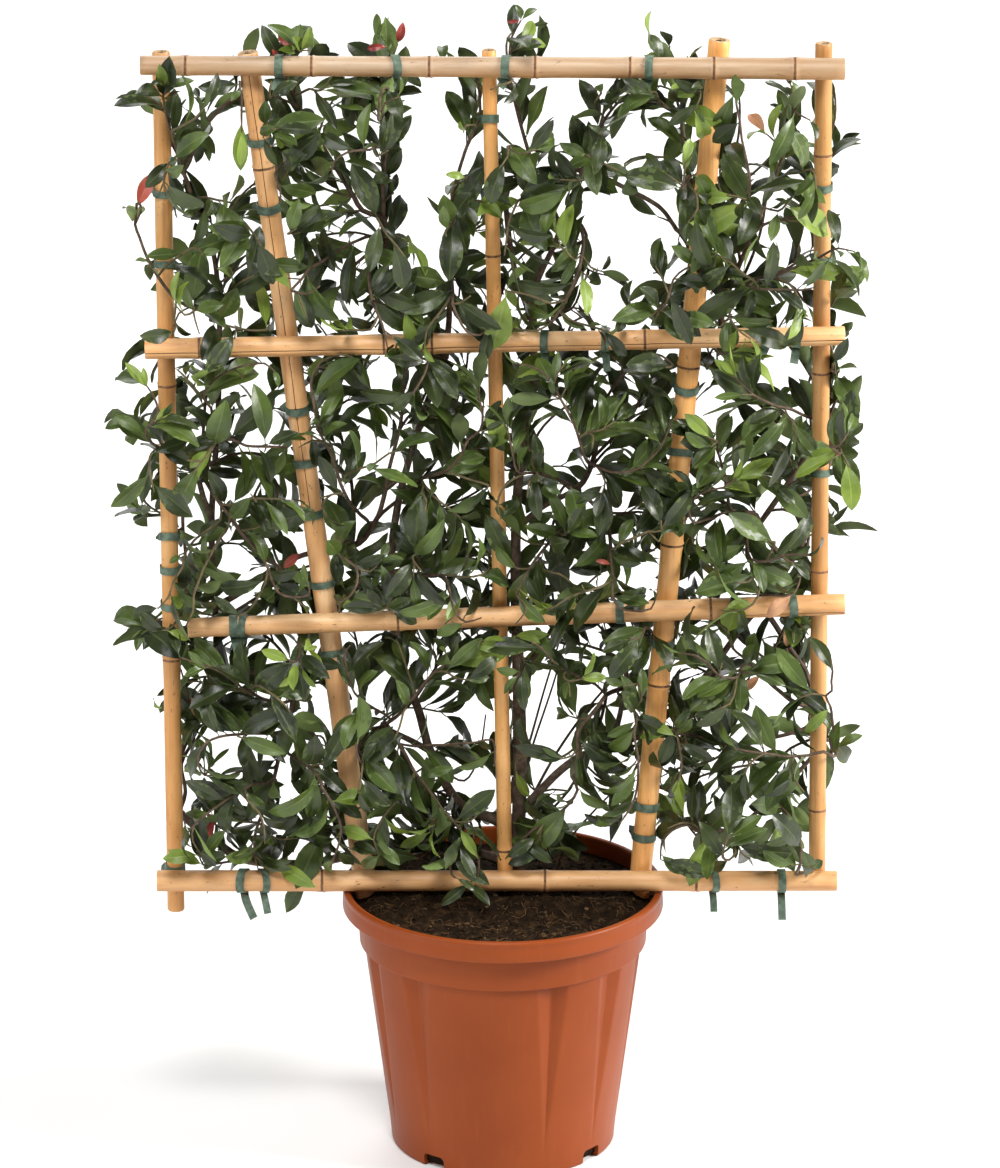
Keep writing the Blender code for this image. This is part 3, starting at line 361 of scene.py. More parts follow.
# Leaf colours: dark, middle and pale skin, midrib, underside, roughness
LEAF_TONES = {
    "dark": ((0.01, 0.016, 0.004), (0.021, 0.031, 0.007), (0.04, 0.058, 0.012), (0.056, 0.076, 0.02),
             (0.072, 0.1, 0.028), 0.36),
    "green": ((0.032, 0.052, 0.01), (0.054, 0.084, 0.014), (0.09, 0.135, 0.024), (0.112, 0.155, 0.04),
              (0.105, 0.15, 0.038), 0.38),
    "young": ((0.1, 0.15, 0.018), (0.15, 0.215, 0.028), (0.21, 0.29, 0.045), (0.22, 0.29, 0.07),
              (0.19, 0.26, 0.06), 0.42),
    "red": ((0.16, 0.016, 0.014), (0.27, 0.032, 0.026), (0.38, 0.075, 0.042), (0.38, 0.13, 0.09),
            (0.3, 0.09, 0.06), 0.38),
    "dry": ((0.26, 0.095, 0.04), (0.42, 0.19, 0.09), (0.58, 0.32, 0.17), (0.5, 0.27, 0.15),
            (0.44, 0.24, 0.14), 0.6),
}
TONES = tuple(LEAF_TONES)
DARK, GREEN, YOUNG = 0, 1, 2

# The mass's bough, its columns and rows in the frame, its seed and how full it is
MASSES = {
    "foliage_low_left": ("bough_loop", ("outer_left", "inner_left"), ("foot", "lower"), 11, 1.0),
    "foliage_mid_left": ("spur_left", ("outer_left", "inner_left"), ("lower", "upper"), 12, 1.0),
    "foliage_top_left": ("bough_left_riser", ("outer_left", "inner_left"), ("upper", "top"), 13, 0.7),
    "foliage_low_inner_left": ("spur_low_left", ("inner_left", "middle"), ("foot", "lower"), 14, 1.0),
    "foliage_mid_inner_left": ("bough_left_cross", ("inner_left", "middle"), ("lower", "upper"), 15, 1.0),
    "foliage_top_inner_left": (
        "bough_left_leader", ("inner_left", "leader_split"), ("upper", "top"), 16, 0.68),
    "foliage_top_middle": ("bough_middle_leader", ("leader_split", "middle"), ("upper", "top"), 37, 0.64),
    "foliage_low_inner_right": ("spur_low_right", ("middle", "inner_right"), ("foot", "lower"), 18, 1.0),
    "foliage_mid_inner_right": ("spur_middle", ("middle", "inner_right"), ("lower", "upper"), 19, 1.0),
    "foliage_top_inner_right": ("bough_leader", ("middle", "arch_split"), ("upper", "top"), 20, 0.8),
    "foliage_top_arch": ("bough_arch_end", ("arch_split", "inner_right"), ("upper", "top"), 21, 0.7),
    "foliage_low_right": ("bough_right_drop", ("inner_right", "outer_right"), ("foot", "lower"), 22, 1.0),
    "foliage_mid_right": ("spur_right", ("inner_right", "outer_right"), ("lower", "upper"), 23, 0.95),
    "foliage_top_right": ("bough_right_return", ("inner_right", "outer_right"), ("upper", "top"), 24, 0.76),
}

# Sky that shows through the crown, seen in the frame's plane: x from and to, z from and to
SKY = metres(WHOLE, (
    (-285, -240, 928, 958), (-262, -236, 972, 1010), (-345, -318, 940, 1012), (-345, -316, 800, 830),
    (-186, -166, 998, 1024), (-78, -22, 995, 1034), (-85, -24, 945, 982), (-92, -54, 903, 934),
    (-68, -52, 845, 895), (22, 82, 1004, 1034), (4, 34, 975, 1010), (100, 160, 965, 990),
    (86, 138, 882, 922), (98, 136, 852, 884), (150, 166, 862, 880), (82, 110, 812, 846),
    (130, 158, 912, 936), (216, 240, 985, 1034), (224, 246, 962, 984), (266, 282, 995, 1034),
    (0, 18, 928, 950), (308, 345, 875, 960), (-272, -252, 725, 745), (-262, -238, 566, 590),
    (-194, -176, 576, 600), (-262, -238, 535, 552), (-238, -204, 690, 710), (-118, -96, 738, 768),
    (-38, -24, 705, 720), (32, 60, 672, 712), (108, 136, 552, 572), (186, 202, 704, 722),
    (224, 256, 698, 712), (230, 256, 752, 770), (236, 262, 598, 628), (330, 350, 640, 760),
    (304, 345, 445, 560), (-345, -306, 300, 425), (-178, -158, 425, 445), (-195, -170, 282, 300),
    (-128, -108, 434, 458), (-70, -42, 400, 425), (-40, -10, 405, 440), (-45, -10, 340, 372),
    (26, 50, 400, 470), (64, 92, 436, 456), (48, 62, 385, 425), (62, 80, 330, 352), (70, 110, 298, 318),
    (108, 126, 300, 330), (186, 198, 404, 420), (214, 234, 398, 412), (160, 180, 292, 318),
    (28, 64, 352, 384), (236, 258, 428, 456), (194, 212, 484, 506), (-70, -40, 955, 1024),
    (-90, -54, 888, 950), (300, 330, 560, 600),
))

# Where leaves hang over a cane or a bar: x, z
OVERHANGS = metres(WHOLE, (
    (-305, 1020), (-303, 940), (-305, 875), (-305, 715), (-300, 688), (-296, 548), (-305, 508),
    (-298, 288), (-208, 990), (-207, 855), (-178, 690), (-186, 618), (-146, 408), (-150, 475), (-130, 310),
    (4, 728), (-4, 695), (4, 632), (-4, 500), (-6, 925), (166, 705), (156, 650), (164, 615), (170, 810),
    (176, 880), (182, 930), (190, 990), (140, 412), (148, 388), (290, 905), (290, 862), (288, 685),
    (296, 430), (-98, 785), (-84, 787), (-10, 792), (100, 795), (165, 800), (212, 795), (255, 790),
    (-82, 530), (-42, 524), (32, 535), (60, 532), (120, 535), (165, 538), (215, 528), (-22, 268),
    (-35, 262), (178, 272), (200, 276), (282, 276), (-186, 262), (-306, 1040), (-136, 345), (-128, 288),
    (178, 852), (181, 905), (12, 288), (-28, 292), (30, 290),
))
OVERHANG_ROOM = 0.017
# Goals round each of them, across and up, and the depths of the goals and the leaves
OVERHANG_GOALS = ((-0.024, 0.01), (0.024, 0.01), (0.0, 0.036))
OVERHANG_GOAL_DEPTH = -0.046
OVERHANG_LEAF_DEPTH = -0.042
OVERHANG_TWIGS = 14
SIGHT_SLOPE = 0.351

# The furthest leaf tips of the crown's outline: x, y, z
TIPS = metres(TENTHS, (
    (-2087, -100, 10940), (-1820, 200, 10800), (-1057, 0, 10910), (-538, 300, 10640), (152, -100, 11035),
    (331, 200, 10985), (1406, 100, 11000), (1720, 300, 10600), (2150, 200, 10204), (2490, 400, 10250),
    (3215, -100, 9849), (3253, 200, 8675), (3226, -200, 8120), (3115, 300, 7610), (3485, 0, 6264),
    (3234, 300, 5905), (3310, 0, 4061), (3176, 400, 3764), (-1731, -200, 2063), (-2038, 0, 2234),
    (-2784, -100, 2415), (-3248, 100, 4358), (-3638, -200, 5340), (-3487, 100, 4950), (-3697, -100, 7131),
    (-3554, 200, 6457), (-3558, -200, 7650), (-3398, 0, 10204), (-3327, 200, 9080), (-2494, 200, 10603),
    (300, -860, 6600), (-1200, -860, 6900), (-1100, 960, 6400), (900, 960, 6700), (2400, -700, 9000),
    (-2500, 850, 4000),
))
TIP_ROOM = 0.012

# How far the crown reaches: to the left and to the right up to each height, and up and down as far as each x
LEFT_REACH = metres(WHOLE, (
    (430, -303), (452, -322), (488, -303), (535, -362), (612, -306), (665, -356), (690, -322), (722, -366),
    (744, -326), (800, -357), (832, -306), (870, -332), (940, -308), (1000, -308), (1026, -346),
    (1200, -312),
))
RIGHT_REACH = metres(WHOLE, (
    (380, 302), (425, 325), (572, 303), (592, 322), (602, 305), (635, 345), (765, 328), (790, 308),
    (812, 326), (826, 304), (868, 326), (962, 304), (988, 326), (1200, 302),
))
TOP_REACH = metres(WHOLE, (
    (-262, 1034), (-232, 1066), (-172, 1096), (-122, 1070), (-85, 1098), (-60, 1040), (-25, 1066),
    (-6, 1040), (42, 1104), (126, 1036), (152, 1104), (190, 1060), (1000, 1036),
))
FOOT_REACH = metres(WHOLE, (
    (-280, 281), (-256, 243), (-206, 272), (-188, 222), (-179, 268), (-160, 206), (-42, 266), (-8, 244),
    (155, 284), (212, 258), (255, 274), (278, 240), (1000, 268),
))

# Shoots that show apart from the rest, by mass: points from the bough on
SHOOTS = metres(TENTHS, {
    "foliage_top_inner_right": (
        ((520, 100, 8900), (671, 100, 9327), (921, 90, 9928), (1190, 60, 10227), (1340, 100, 10360),
        (1450, 80, 10480)),
        ((520, 100, 8900), (300, 140, 9400), (150, 140, 9900), (60, 120, 10350), (80, 60, 10700),
        (160, 20, 10860)),
    ),
    "foliage_top_inner_left": (
        ((-1071, 220, 8650), (-1087, 200, 9364), (-1039, 160, 9740), (-1010, 140, 10150),
        (-1000, 100, 10480)),
        ((-1200, 220, 8900), (-1500, 240, 9400), (-1760, 240, 9850), (-1940, 220, 10220),
        (-1960, 160, 10520)),
    ),
    "foliage_low_right": (
        ((2890, 340, 4300), (2930, 320, 4080), (3000, 280, 3920), (3070, 240, 3900)),
    ),
    "foliage_mid_right": (
        ((2370, 160, 6050), (2600, 220, 6380), (2840, 280, 6760), (3000, 220, 7080), (3080, 120, 7360)),
    ),
    "foliage_top_middle": (
        ((-485, 230, 8300), (-472, 220, 8997), (-435, 210, 9270), (-325, 190, 9646), (-210, 170, 9928),
        (-225, 140, 10236)),
    ),
    "foliage_top_arch": (
        ((1560, 300, 8860), (1660, 280, 8720), (1719, 260, 8589)),
    ),
    "foliage_top_left": (
        ((-2590, 340, 8000), (-2640, 300, 8600), (-2828, 160, 9195), (-2890, 80, 9458), (-2960, -60, 9740),
        (-3010, -80, 9928)),
        ((-2880, 100, 9420), (-2748, 120, 9740), (-2619, 120, 9937), (-2400, 110, 10161)),
        ((-2590, 340, 8000), (-2735, 80, 8120), (-2968, -80, 8276), (-3200, -80, 8618),
        (-3330, -60, 8978)),
    ),
    "foliage_low_inner_right": (
        ((1120, 160, 4350), (1150, 200, 4600), (1220, 240, 4970)),
    ),
})

# Thin stems that rise into a mass from the trunk, a bough or the soil: start and end radius, points
THIN_STEMS = metres(TENTHS, {
    "foliage_low_inner_right": (
        (26, 16, ((140, 140, 4500), (260, 200, 4680), (420, 260, 4920), (560, 300, 5200))),
        (13, 8, ((150, 140, 3560), (260, 260, 3900), (400, 340, 4400), (580, 360, 5000))),
        (12, 8, ((150, 140, 3440), (300, 300, 3880), (480, 400, 4420), (620, 420, 4960))),
        (15, 9, ((240, 170, 3280), (500, 380, 3700), (820, 440, 4160), (1180, 440, 4600),
        (1320, 400, 4960))),
        (12, 8, ((460, 300, 2420), (600, 360, 2800), (860, 400, 3120), (1160, 400, 3440))),
    ),
    "foliage_mid_inner_right": (
        (15, 10, ((220, 170, 6600), (330, 240, 6900), (560, 290, 7120), (780, 300, 7180))),
    ),
    "foliage_mid_inner_left": (
        (17, 12, ((-2600, 310, 5060), (-2300, 360, 5240), (-1960, 380, 5480), (-1600, 340, 5640))),
    ),
    "foliage_low_left": (
        (20, 14, ((-3020, 180, 3200), (-2960, 110, 3420), (-3000, 260, 3640), (-2880, 260, 3900),
        (-2900, 130, 4160), (-2720, 170, 4420))),
        (12, 8, ((-2960, 200, 3890), (-2900, 140, 4160), (-2960, 200, 4480), (-3040, 140, 4800))),
    ),
    "foliage_low_inner_left": (
        (13, 8, ((-600, 270, 3600), (-360, 340, 3440), (-220, 360, 3700), (-160, 340, 4100))),
    ),
    "foliage_low_right": (
        (14, 9, ((2560, 340, 4920), (2660, 300, 4700), (2760, 280, 4460), (2810, 280, 4260))),
    ),
    "foliage_top_right": (
        (18, 11, ((2010, 280, 8050), (2200, 280, 8400), (2340, 260, 8800), (2400, 240, 9200))),
    ),
})

# Leaves that stand apart in colour, on the twig nearest to each: x, y, z, length, tone
SPECIAL_LEAVES = metres(WHOLE, (
    (-326, -4, 925, 32, "red"), (-318, 0, 905, 20, "red"), (-350, -10, 768, 34, "red"),
    (-338, 0, 792, 24, "red"), (318, 2, 656, 34, "red"), (-209, 0, 1082, 20, "red"),
    (-214, -4, 1070, 14, "red"), (-88, 2, 1090, 20, "red"), (-134, 0, 1066, 22, "red"),
    (-118, 0, 1062, 18, "red"), (18, -4, 1092, 16, "red"), (10, 0, 1086, 12, "red"),
    (212, 4, 1014, 26, "dry"), (-189, -20, 586, 20, "red"), (262, -10, 506, 20, "dry"),
    (242, -34, 532, 40, "dry"), (262, -30, 548, 30, "dry"), (-284, -10, 432, 26, "dry"),
    (-276, -12, 304, 22, "red"), (224, 0, 448, 22, "dry"), (75, -40, 592, 14, "red"),
))


# Materials

def new_material(name, colour, roughness, specular=0.5):
    made = bpy.data.materials.new(name)
    made.use_nodes = True
    shader = made.node_tree.nodes["Principled BSDF"]
    shader.inputs["Base Color"].default_value = (*colour, 1)
    shader.inputs["Roughness"].default_value = roughness
    shader.inputs["Specular IOR Level"].default_value = specular
    return made


def add_node(made, kind, **values):
    node = made.node_tree.nodes.new(kind)
    for key, value in values.items():
        setattr(node, key, value)
    return node


def link(made, start, end):
    made.node_tree.links.new(start, end)


def place_node(made, scale=(1, 1, 1), rotation=(0, 0, 0)):
    """Object coordinates, stretched and turned."""
    source = add_node(made, "ShaderNodeTexCoord")
    mapping = add_node(made, "ShaderNodeMapping")
    mapping.inputs["Scale"].default_value = scale
    mapping.inputs["Rotation"].default_value = rotation
    link(made, source.outputs["Object"], mapping.inputs["Vector"])
    return mapping.outputs["Vector"]


def noise_node(made, vector, scale, detail=4.0, rough=0.5, distortion=0.0):
    node = add_node(made, "ShaderNodeTexNoise")
    node.inputs["Scale"].default_value = scale
    node.inputs["Detail"].default_value = detail
    node.inputs["Roughness"].default_value = rough
    node.inputs["Distortion"].default_value = distortion
    link(made, vector, node.inputs["Vector"])
    return node.outputs["Fac"]


def ramp_node(made, value, stops):
    ramp = add_node(made, "ShaderNodeValToRGB")
    elements = ramp.color_ramp.elements
    while len(elements) < len(stops):
        elements.new(0.5)
    for element, (place, colour) in zip(elements, stops):
        element.position = place
        element.color = (*colour, 1)
    link(made, value, ramp.inputs["Fac"])
    return ramp.outputs["Color"]


def range_node(made, value, low, high, start=0.0, end=1.0):
    node = add_node(made, "ShaderNodeMapRange")
    node.inputs["From Min"].default_value = start
    node.inputs["From Max"].default_value = end
    node.inputs["To Min"].default_value = low
    node.inputs["To Max"].default_value = high
    link(made, value, node.inputs["Value"])
    return node.outputs["Result"]


def mix_node(made, share, first, second):
    node = add_node(made, "ShaderNodeMix", data_type="RGBA")
    for socket, value in ((node.inputs[0], share), (node.inputs[6], first), (node.inputs[7], second)):
        if isinstance(value, (int, float)):
            socket.default_value = value
        elif isinstance(value, tuple):
            socket.default_value = (*value, 1)
        else:
            link(made, value, socket)
    return node.outputs[2]


def bump_node(made, height, strength, distance, below=None):
    node = add_node(made, "ShaderNodeBump")
    node.inputs["Strength"].default_value = strength
    node.inputs["Distance"].default_value = distance
    link(made, height, node.inputs["Height"])
    if below:
        link(made, below, node.inputs["Normal"])
    return node.outputs["Normal"]


def shade(made, socket, value):
    link(made, value, made.node_tree.nodes["Principled BSDF"].inputs[socket])


def speckled_material(name, colour, roughness, specular, grain, stops):
    """A material whose colour changes in specks; grain is the noise's scale, detail and roughness."""
    made = new_material(name, colour, roughness, specular)
    shade(made, "Base Color", ramp_node(made, noise_node(made, place_node(made), *grain), stops))
    return made


def terracotta_material():
    made = new_material("terracotta_plastic", (0.225, 0.043, 0.006), 0.34, 0.18)
    place = place_node(made)
    cloud = noise_node(made, place, 9.0, 3.0)
    colour = ramp_node(made, cloud, ((0.3, (0.205, 0.037, 0.0045)), (0.7, (0.245, 0.049, 0.008))))
    streak = noise_node(made, place_node(made, (150, 150, 6)), 1.0, 3.0)
    colour = mix_node(made, range_node(made, streak, 0.0, 0.22, 0.55, 0.8), colour, (0.29, 0.074, 0.018))
    dirt = noise_node(made, place, 34.0, 6.0, 0.65)
    colour = mix_node(made, range_node(made, dirt, 0.0, 0.3, 0.62, 0.8), colour, (0.15, 0.028, 0.006))
    shade(made, "Base Color", colour)
    shade(made, "Roughness", range_node(made, streak, 0.34, 0.5))
    grain = noise_node(made, place, 900.0, 2.0)
    wave = noise_node(made, place, 14.0, 2.0)
    shade(made, "Normal", bump_node(made, grain, 0.1, 0.0004, bump_node(made, wave, 0.15, 0.004)))
    return made


def soil_material():
    made = speckled_material("soil", (0.02, 0.011, 0.005), 0.95, 0.1, (120.0, 6.0, 0.7), (
        (0.3, (0.004, 0.0022, 0.0008)), (0.52, (0.015, 0.0078, 0.003)), (0.75, (0.06, 0.032, 0.013))))
    lumps = noise_node(made, place_node(made), 380.0, 5.0, 0.7)
    shade(made, "Normal", bump_node(made, lumps, 0.9, 0.002))
    return made


def fibre_material():
    return speckled_material("soil_fibre", (0.07, 0.038, 0.016), 0.85, 0.15, (70.0,), (
        (0.35, (0.022, 0.011, 0.005)), (0.68, (0.12, 0.066, 0.028))))


def bamboo_material(name, tones, upright, tilt, low, high):
    """Bamboo skin: fibres and soft blotches along the cane, and on a bar a darker, more orange lower side
    from low to high, partly the bar's own tone and partly painted shade.
    """
    made = new_material(name, tones[1], 0.42)
    along = (190, 190, 8) if upright else (8, 190, 190)
    broad = (30, 30, 6) if upright else (6, 30, 30)
    turn = (0, tilt, 0)
    fibres = noise_node(made, place_node(made, along, turn), 1.0, 6.0, 0.65)
    blotches = noise_node(made, place_node(made, broad, turn), 1.0, 4.0, 0.6, 0.4)
    speckles = noise_node(made, place_node(made, (1, 1, 0.35) if upright else (0.35, 1, 1)), 330.0, 3.0, 0.65)
    colour = ramp_node(made, blotches, ((0.32, tones[0]), (0.5, tones[1]), (0.68, tones[2])))
    if not upright:
        split = add_node(made, "ShaderNodeSeparateXYZ")
        link(made, place_node(made, (1, 1, 1), turn), split.inputs[0])
        # A bar's lower side turns darker and more orange: partly the bar's own tone, partly painted shade
        # under the bar
        shaded_lower_side = range_node(made, split.outputs["Z"], 0.85, 0.0, low, high)
        colour = mix_node(made, shaded_lower_side, colour, (0.5, 0.245, 0.085))
    colour = mix_node(made, range_node(made, fibres, 0.0, 0.6, 0.48, 0.72), colour, tones[3])
    colour = mix_node(made, range_node(made, speckles, 0.0, 0.75, 0.64, 0.72), colour, (0.17, 0.07, 0.025))
    shade(made, "Base Color", colour)
    shade(made, "Roughness", range_node(made, fibres, 0.34, 0.58))
    shade(made, "Normal", bump_node(made, fibres, 0.35, 0.0006))
    return made


def ring_material():
    return speckled_material("bamboo_ring", (0.2, 0.085, 0.035), 0.65, 0.5, (240.0,), (
        (0.35, (0.085, 0.034, 0.014)), (0.65, (0.3, 0.14, 0.06))))


def cut_material():
    return speckled_material("bamboo_cut", (0.5, 0.33, 0.18), 0.75, 0.3, (420.0,), (
        (0.35, (0.3, 0.18, 0.09)), (0.65, (0.62, 0.44, 0.26))))


# Dark colour for a split along a cane and for the depth of each cut end's hollow: painted shade where these
# recesses lie in shadow
def crack_shade_material():
    return speckled_material("bamboo_crack", (0.035, 0.018, 0.009), 0.9, 0.1, (260.0, 3.0), (
        (0.35, (0.018, 0.009, 0.005)), (0.65, (0.075, 0.036, 0.016))))


def bark_material(name, dark, mid, pale):
    made = speckled_material(
        name, mid, 0.8, 0.25, (130.0, 6.0, 0.65), ((0.32, dark), (0.52, mid), (0.74, pale)))
    ridges = noise_node(made, place_node(made, (420, 420, 60)), 1.0, 5.0, 0.6)
    shade(made, "Normal", bump_node(made, ridges, 0.6, 0.0008))
    return made


def tie_material():
    made = speckled_material("green_tie", (0.08, 0.125, 0.085), 0.55, 0.4, (160.0,), (
        (0.35, (0.046, 0.076, 0.05)), (0.65, (0.125, 0.18, 0.125))))
    weave = add_node(made, "ShaderNodeTexVoronoi")
    weave.inputs["Scale"].default_value = 700.0
    link(made, place_node(made), weave.inputs["Vector"])
    shade(made, "Normal", bump_node(made, weave.outputs["Distance"], 0.35, 0.0004))
    return made


def leaf_material(name, dark, mid, pale, roughness, coat):
    """A leaf's skin: cloudy tone, fine cells, gloss that varies a little."""
    made = new_material(name, mid, roughness, 0.35)
    shader = made.node_tree.nodes["Principled BSDF"]
    shader.inputs["Coat Weight"].default_value = coat
    shader.inputs["Coat Roughness"].default_value = 0.25
    place = place_node(made)
    cloud = noise_node(made, place, 26.0, 3.0)
    colour = ramp_node(made, cloud, ((0.34, dark), (0.5, mid), (0.68, pale)))
    fine = noise_node(made, place, 260.0, 3.0, 0.6)
    colour = mix_node(made, range_node(made, fine, 0.0, 0.22, 0.45, 0.75), colour, pale)
    shade(made, "Base Color", colour)
    shade(made, "Roughness", range_node(made, fine, roughness - 0.06, roughness + 0.12))
    veins = noise_node(made, place, 150.0, 2.0)
    shade(made, "Normal", bump_node(made, fine, 0.25, 0.0005, bump_node(made, veins, 0.3, 0.0016)))
    return made


def floor_material():
    return speckled_material("floor", (0.86, 0.86, 0.85), 0.7, 0.2, (3.0, 2.0), (
        (0.3, (0.85, 0.85, 0.84)), (0.7, (0.88, 0.88, 0.87))))


# Mesh helpers

def add_object(name, data):
    made = bpy.data.objects.new(name, data)
    bpy.context.scene.collection.objects.link(made)
    return made


class Pile:
    """Points and faces gathered for one joined piece, each face with its material's number."""

    def __init__(self, name, finishes):
        self.name = name
        self.finishes = finishes
        self.points = []
        self.faces = []
        self.slots = []
        self.count = 0

    def add(self, points, faces, slot=0):
        points = np.asarray(points, float).reshape(-1, 3)
        self.points.append(points)
        self.faces += [tuple(self.count + i for i in face) for face in faces]
        self.slots += [slot] * len(faces) if isinstance(slot, int) else list(slot)
        self.count += len(points)

    def make(self, sharp=None, smooth=True):
        mesh = bpy.data.meshes.new(self.name)
        mesh.from_pydata(np.concatenate(self.points).tolist(), [], self.faces)
        for finish in self.finishes:
            mesh.materials.append(finish)
        mesh.polygons.foreach_set("material_index", self.slots)
        if smooth:
            mesh.shade_smooth()
            if sharp:
                mesh.set_sharp_from_angle(angle=math.radians(sharp))
        mesh.update()
        made = add_object(self.name, mesh)
        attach(made, "root")
        return made


def name_seed(name):
    return sum(ord(letter) for letter in name)


def square_to(direction, along):
    """A direction with what it has of another taken out."""
    return (direction - along * direction.dot(along)).normalized()


def turned(first, second, angle):
    """The direction at this angle from the first towards the second."""
    return first * math.cos(angle) + second * math.sin(angle)


def nearest(places, goal):
    return min(places, key=lambda place: (place - goal).length)


def square_gaps(places, spot):
    """Squares of the distances from a spot to each place."""
    return ((np.asarray(places) - np.asarray(spot)) ** 2).sum(1)


def heading_at(path, k):
    return (path[min(k + 1, len(path) - 1)] - path[max(k - 1, 0)]).normalized()


def band(low, high, count):
    """Faces between two rings of points, given the number of each ring's first point."""
    turns = [(i, (i + 1) % count) for i in range(count)]
    return [(low + i, low + j, high + j, high + i) for i, j in turns]


def closed_mesh(points, count):
    """The points of a row of rings, and the faces that join the rings and close both ends."""
    last = len(points) - count
    faces = [face for low in range(0, last, count) for face in band(low, low + count, count)]
    return points, [*faces, tuple(range(count - 1, -1, -1)), tuple(range(last, last + count))]


def smooth_path(points, step):
    """Points about a step apart on a smooth curve through the given points."""
    points = [Vector(point) for point in points]
    padded = [2 * points[0] - points[1], *points, 2 * points[-1] - points[-2]]
    path = [points[0]]
    for before, start, end, after in zip(padded, padded[1:], padded[2:], padded[3:]):
        count = max(1, round((end - start).length / step))
        for k in range(1, count + 1):
            t = k / count
            path.append(0.5 * (
                2 * start + (end - before) * t
                + (2 * before - 5 * start + 4 * end - after) * t * t
                + (3 * start - before - 3 * end + after) * t * t * t))
    return path


def ring_frames(path):
    """Two directions across each point of a path, turned as little as possible along it."""
    side = heading_at(path[:2], 0).orthogonal().normalized()
    frames = []
    for k in range(len(path)):
        heading = heading_at(path, k)
        side = square_to(side, heading)
        frames.append((side.copy(), heading.cross(side)))
    return frames


def tube_mesh(path, radius_at, sides):
    """Points and faces of a closed tube; radius_at(k, angle) gives the radius at point k of the path."""
    points = []
    for k, (place, (side, other)) in enumerate(zip(path, ring_frames(path))):
        for i in range(sides):
            angle = i * math.tau / sides
            points.append(tuple(place + radius_at(k, angle) * turned(side, other, angle)))
    return closed_mesh(points, sides)


# Pot and soil

def flute_share(height):
    """How far a flute has opened at this height: 0 at the foot and 1 under the collar."""
    return min(max((height - FLUTE_FOOT) / (FLUTE_TOP - FLUTE_FOOT), 0.0), 1.0)


def flute_cut(angle, radius, depth, height):
    """How deep the flutes cut the wall at an angle."""
    if depth <= 0:
        return 0.0
    half = max(0.5 * FLUTE_WIDTH * flute_share(height) / radius, NARROWEST_FLUTE)
    for i in range(FLUTES):
        if i in FLUTES_SKIPPED:
            continue
        away = (angle - FIRST_FLUTE - i * FLUTE_PITCH + math.pi) % math.tau - math.pi
        if abs(away) < half:
            share = math.sqrt((away / half) ** 2 + FLUTE_SOFTNESS) / math.sqrt(1 + FLUTE_SOFTNESS)
            return depth * (1 - share)
    return 0.0


def pot_ring(radius, height, depth):
    ring = []
    for k in range(POT_COLUMNS):
        angle = k * math.tau / POT_COLUMNS
        reach = radius - max(flute_cut(angle, radius, depth, height), 0.0)
        ring.append((reach * math.sin(angle), -reach * math.cos(angle), height))
    return ring


def body_levels(inset, count):
    slope = (BODY_TOP_RADIUS - BODY_FOOT_RADIUS) / (FLUTE_TOP - FLUTE_FOOT)
    levels = []
    for k in range(count):
        height = FLUTE_FOOT + (FLUTE_TOP - FLUTE_FOOT) * k / (count - 1)
        radius = BODY_FOOT_RADIUS + slope * (height - FLUTE_FOOT)
        levels.append((radius - inset, height, FLUTE_DEPTH * flute_share(height)))
    return levels


def rounded(radius, height, turn_from, turn_to, round_radius, count=5):
    """Levels round an edge whose centre is at (radius, height), from one turn to another in degrees."""
    levels = []
    for k in range(count):
        turn = math.radians(turn_from + (turn_to - turn_from) * k / (count - 1))
        levels.append((radius + round_radius * math.cos(turn), height + round_radius * math.sin(turn), 0.0))
    return levels


def pot_levels():
    """Radius, height and depth of the flutes, up the outside of the wall and down its inside."""
    wall_inner = COLLAR_RADIUS - WALL
    return [
        *rounded(FOOT_RADIUS - FOOT_ROUND, FOOT_ROUND, -90, -8, FOOT_ROUND),
        (FOOT_RADIUS + 0.0004, 0.0085, 0.0), (FOOT_RADIUS + 0.001, 0.0135, 0.0),
        *body_levels(0.0, 26),
        *rounded(COLLAR_RADIUS - 0.0024, COLLAR_STEP + 0.0014, -60, 0, STEP_ROUND),
        (COLLAR_RADIUS - 0.0006, 0.215, 0.0), (COLLAR_RADIUS, RIM_FOOT - EDGE_ROUND, 0.0),
        *rounded(RIM_RADIUS - EDGE_ROUND, RIM_FOOT + EDGE_ROUND, -80, 0, EDGE_ROUND),
        (RIM_RADIUS - 0.0006, 0.246, 0.0), (RIM_RADIUS - 0.0009, 0.2478, 0.0),
        *rounded(RIM_RADIUS - LIP, POT_HEIGHT - LIP, -20, 165, LIP, 12),
        (RIM_RADIUS - 2 * LIP - 0.0004, RIM_FOOT + 0.0045, 0.0),
        (RIM_INNER - 0.0014, RIM_FOOT + 0.0028, 0.0),
        (wall_inner, RIM_FOOT + 0.002, 0.0), (wall_inner - 0.0018, COLLAR_STEP, 0.0),
        *body_levels(WALL, 4)[::-1],
        (FOOT_RADIUS - WALL - 0.002, WALL, 0.0),
    ]


def ring_points(levels, every=1):
    """Points of the pot's rings at these levels, and how many a ring has; every is which of them to keep."""
    rings = [pot_ring(*level)[::every] for level in levels]
    return [point for ring in rings for point in ring], len(rings[0])


def notch_cutter(finish):
    cutter = Pile("notch_cutter", [finish])
    count = len(NOTCH_OUTLINE)
    for i in range(NOTCHES):
        angle = FIRST_NOTCH + (i + 0.5) * math.tau / NOTCHES
        outward = Vector((math.sin(angle), -math.cos(angle), 0))
        across = Vector((math.cos(angle), math.sin(angle), 0))
        points = []
        for reach in (NOTCH_START + 0.001, NOTCH_START + NOTCH_LENGTH):
            points += [tuple(outward * reach + across * x + Vector((0, 0, z))) for x, z in NOTCH_OUTLINE]
        cutter.add(*closed_mesh(points, count))
    return cutter.make(smooth=False)


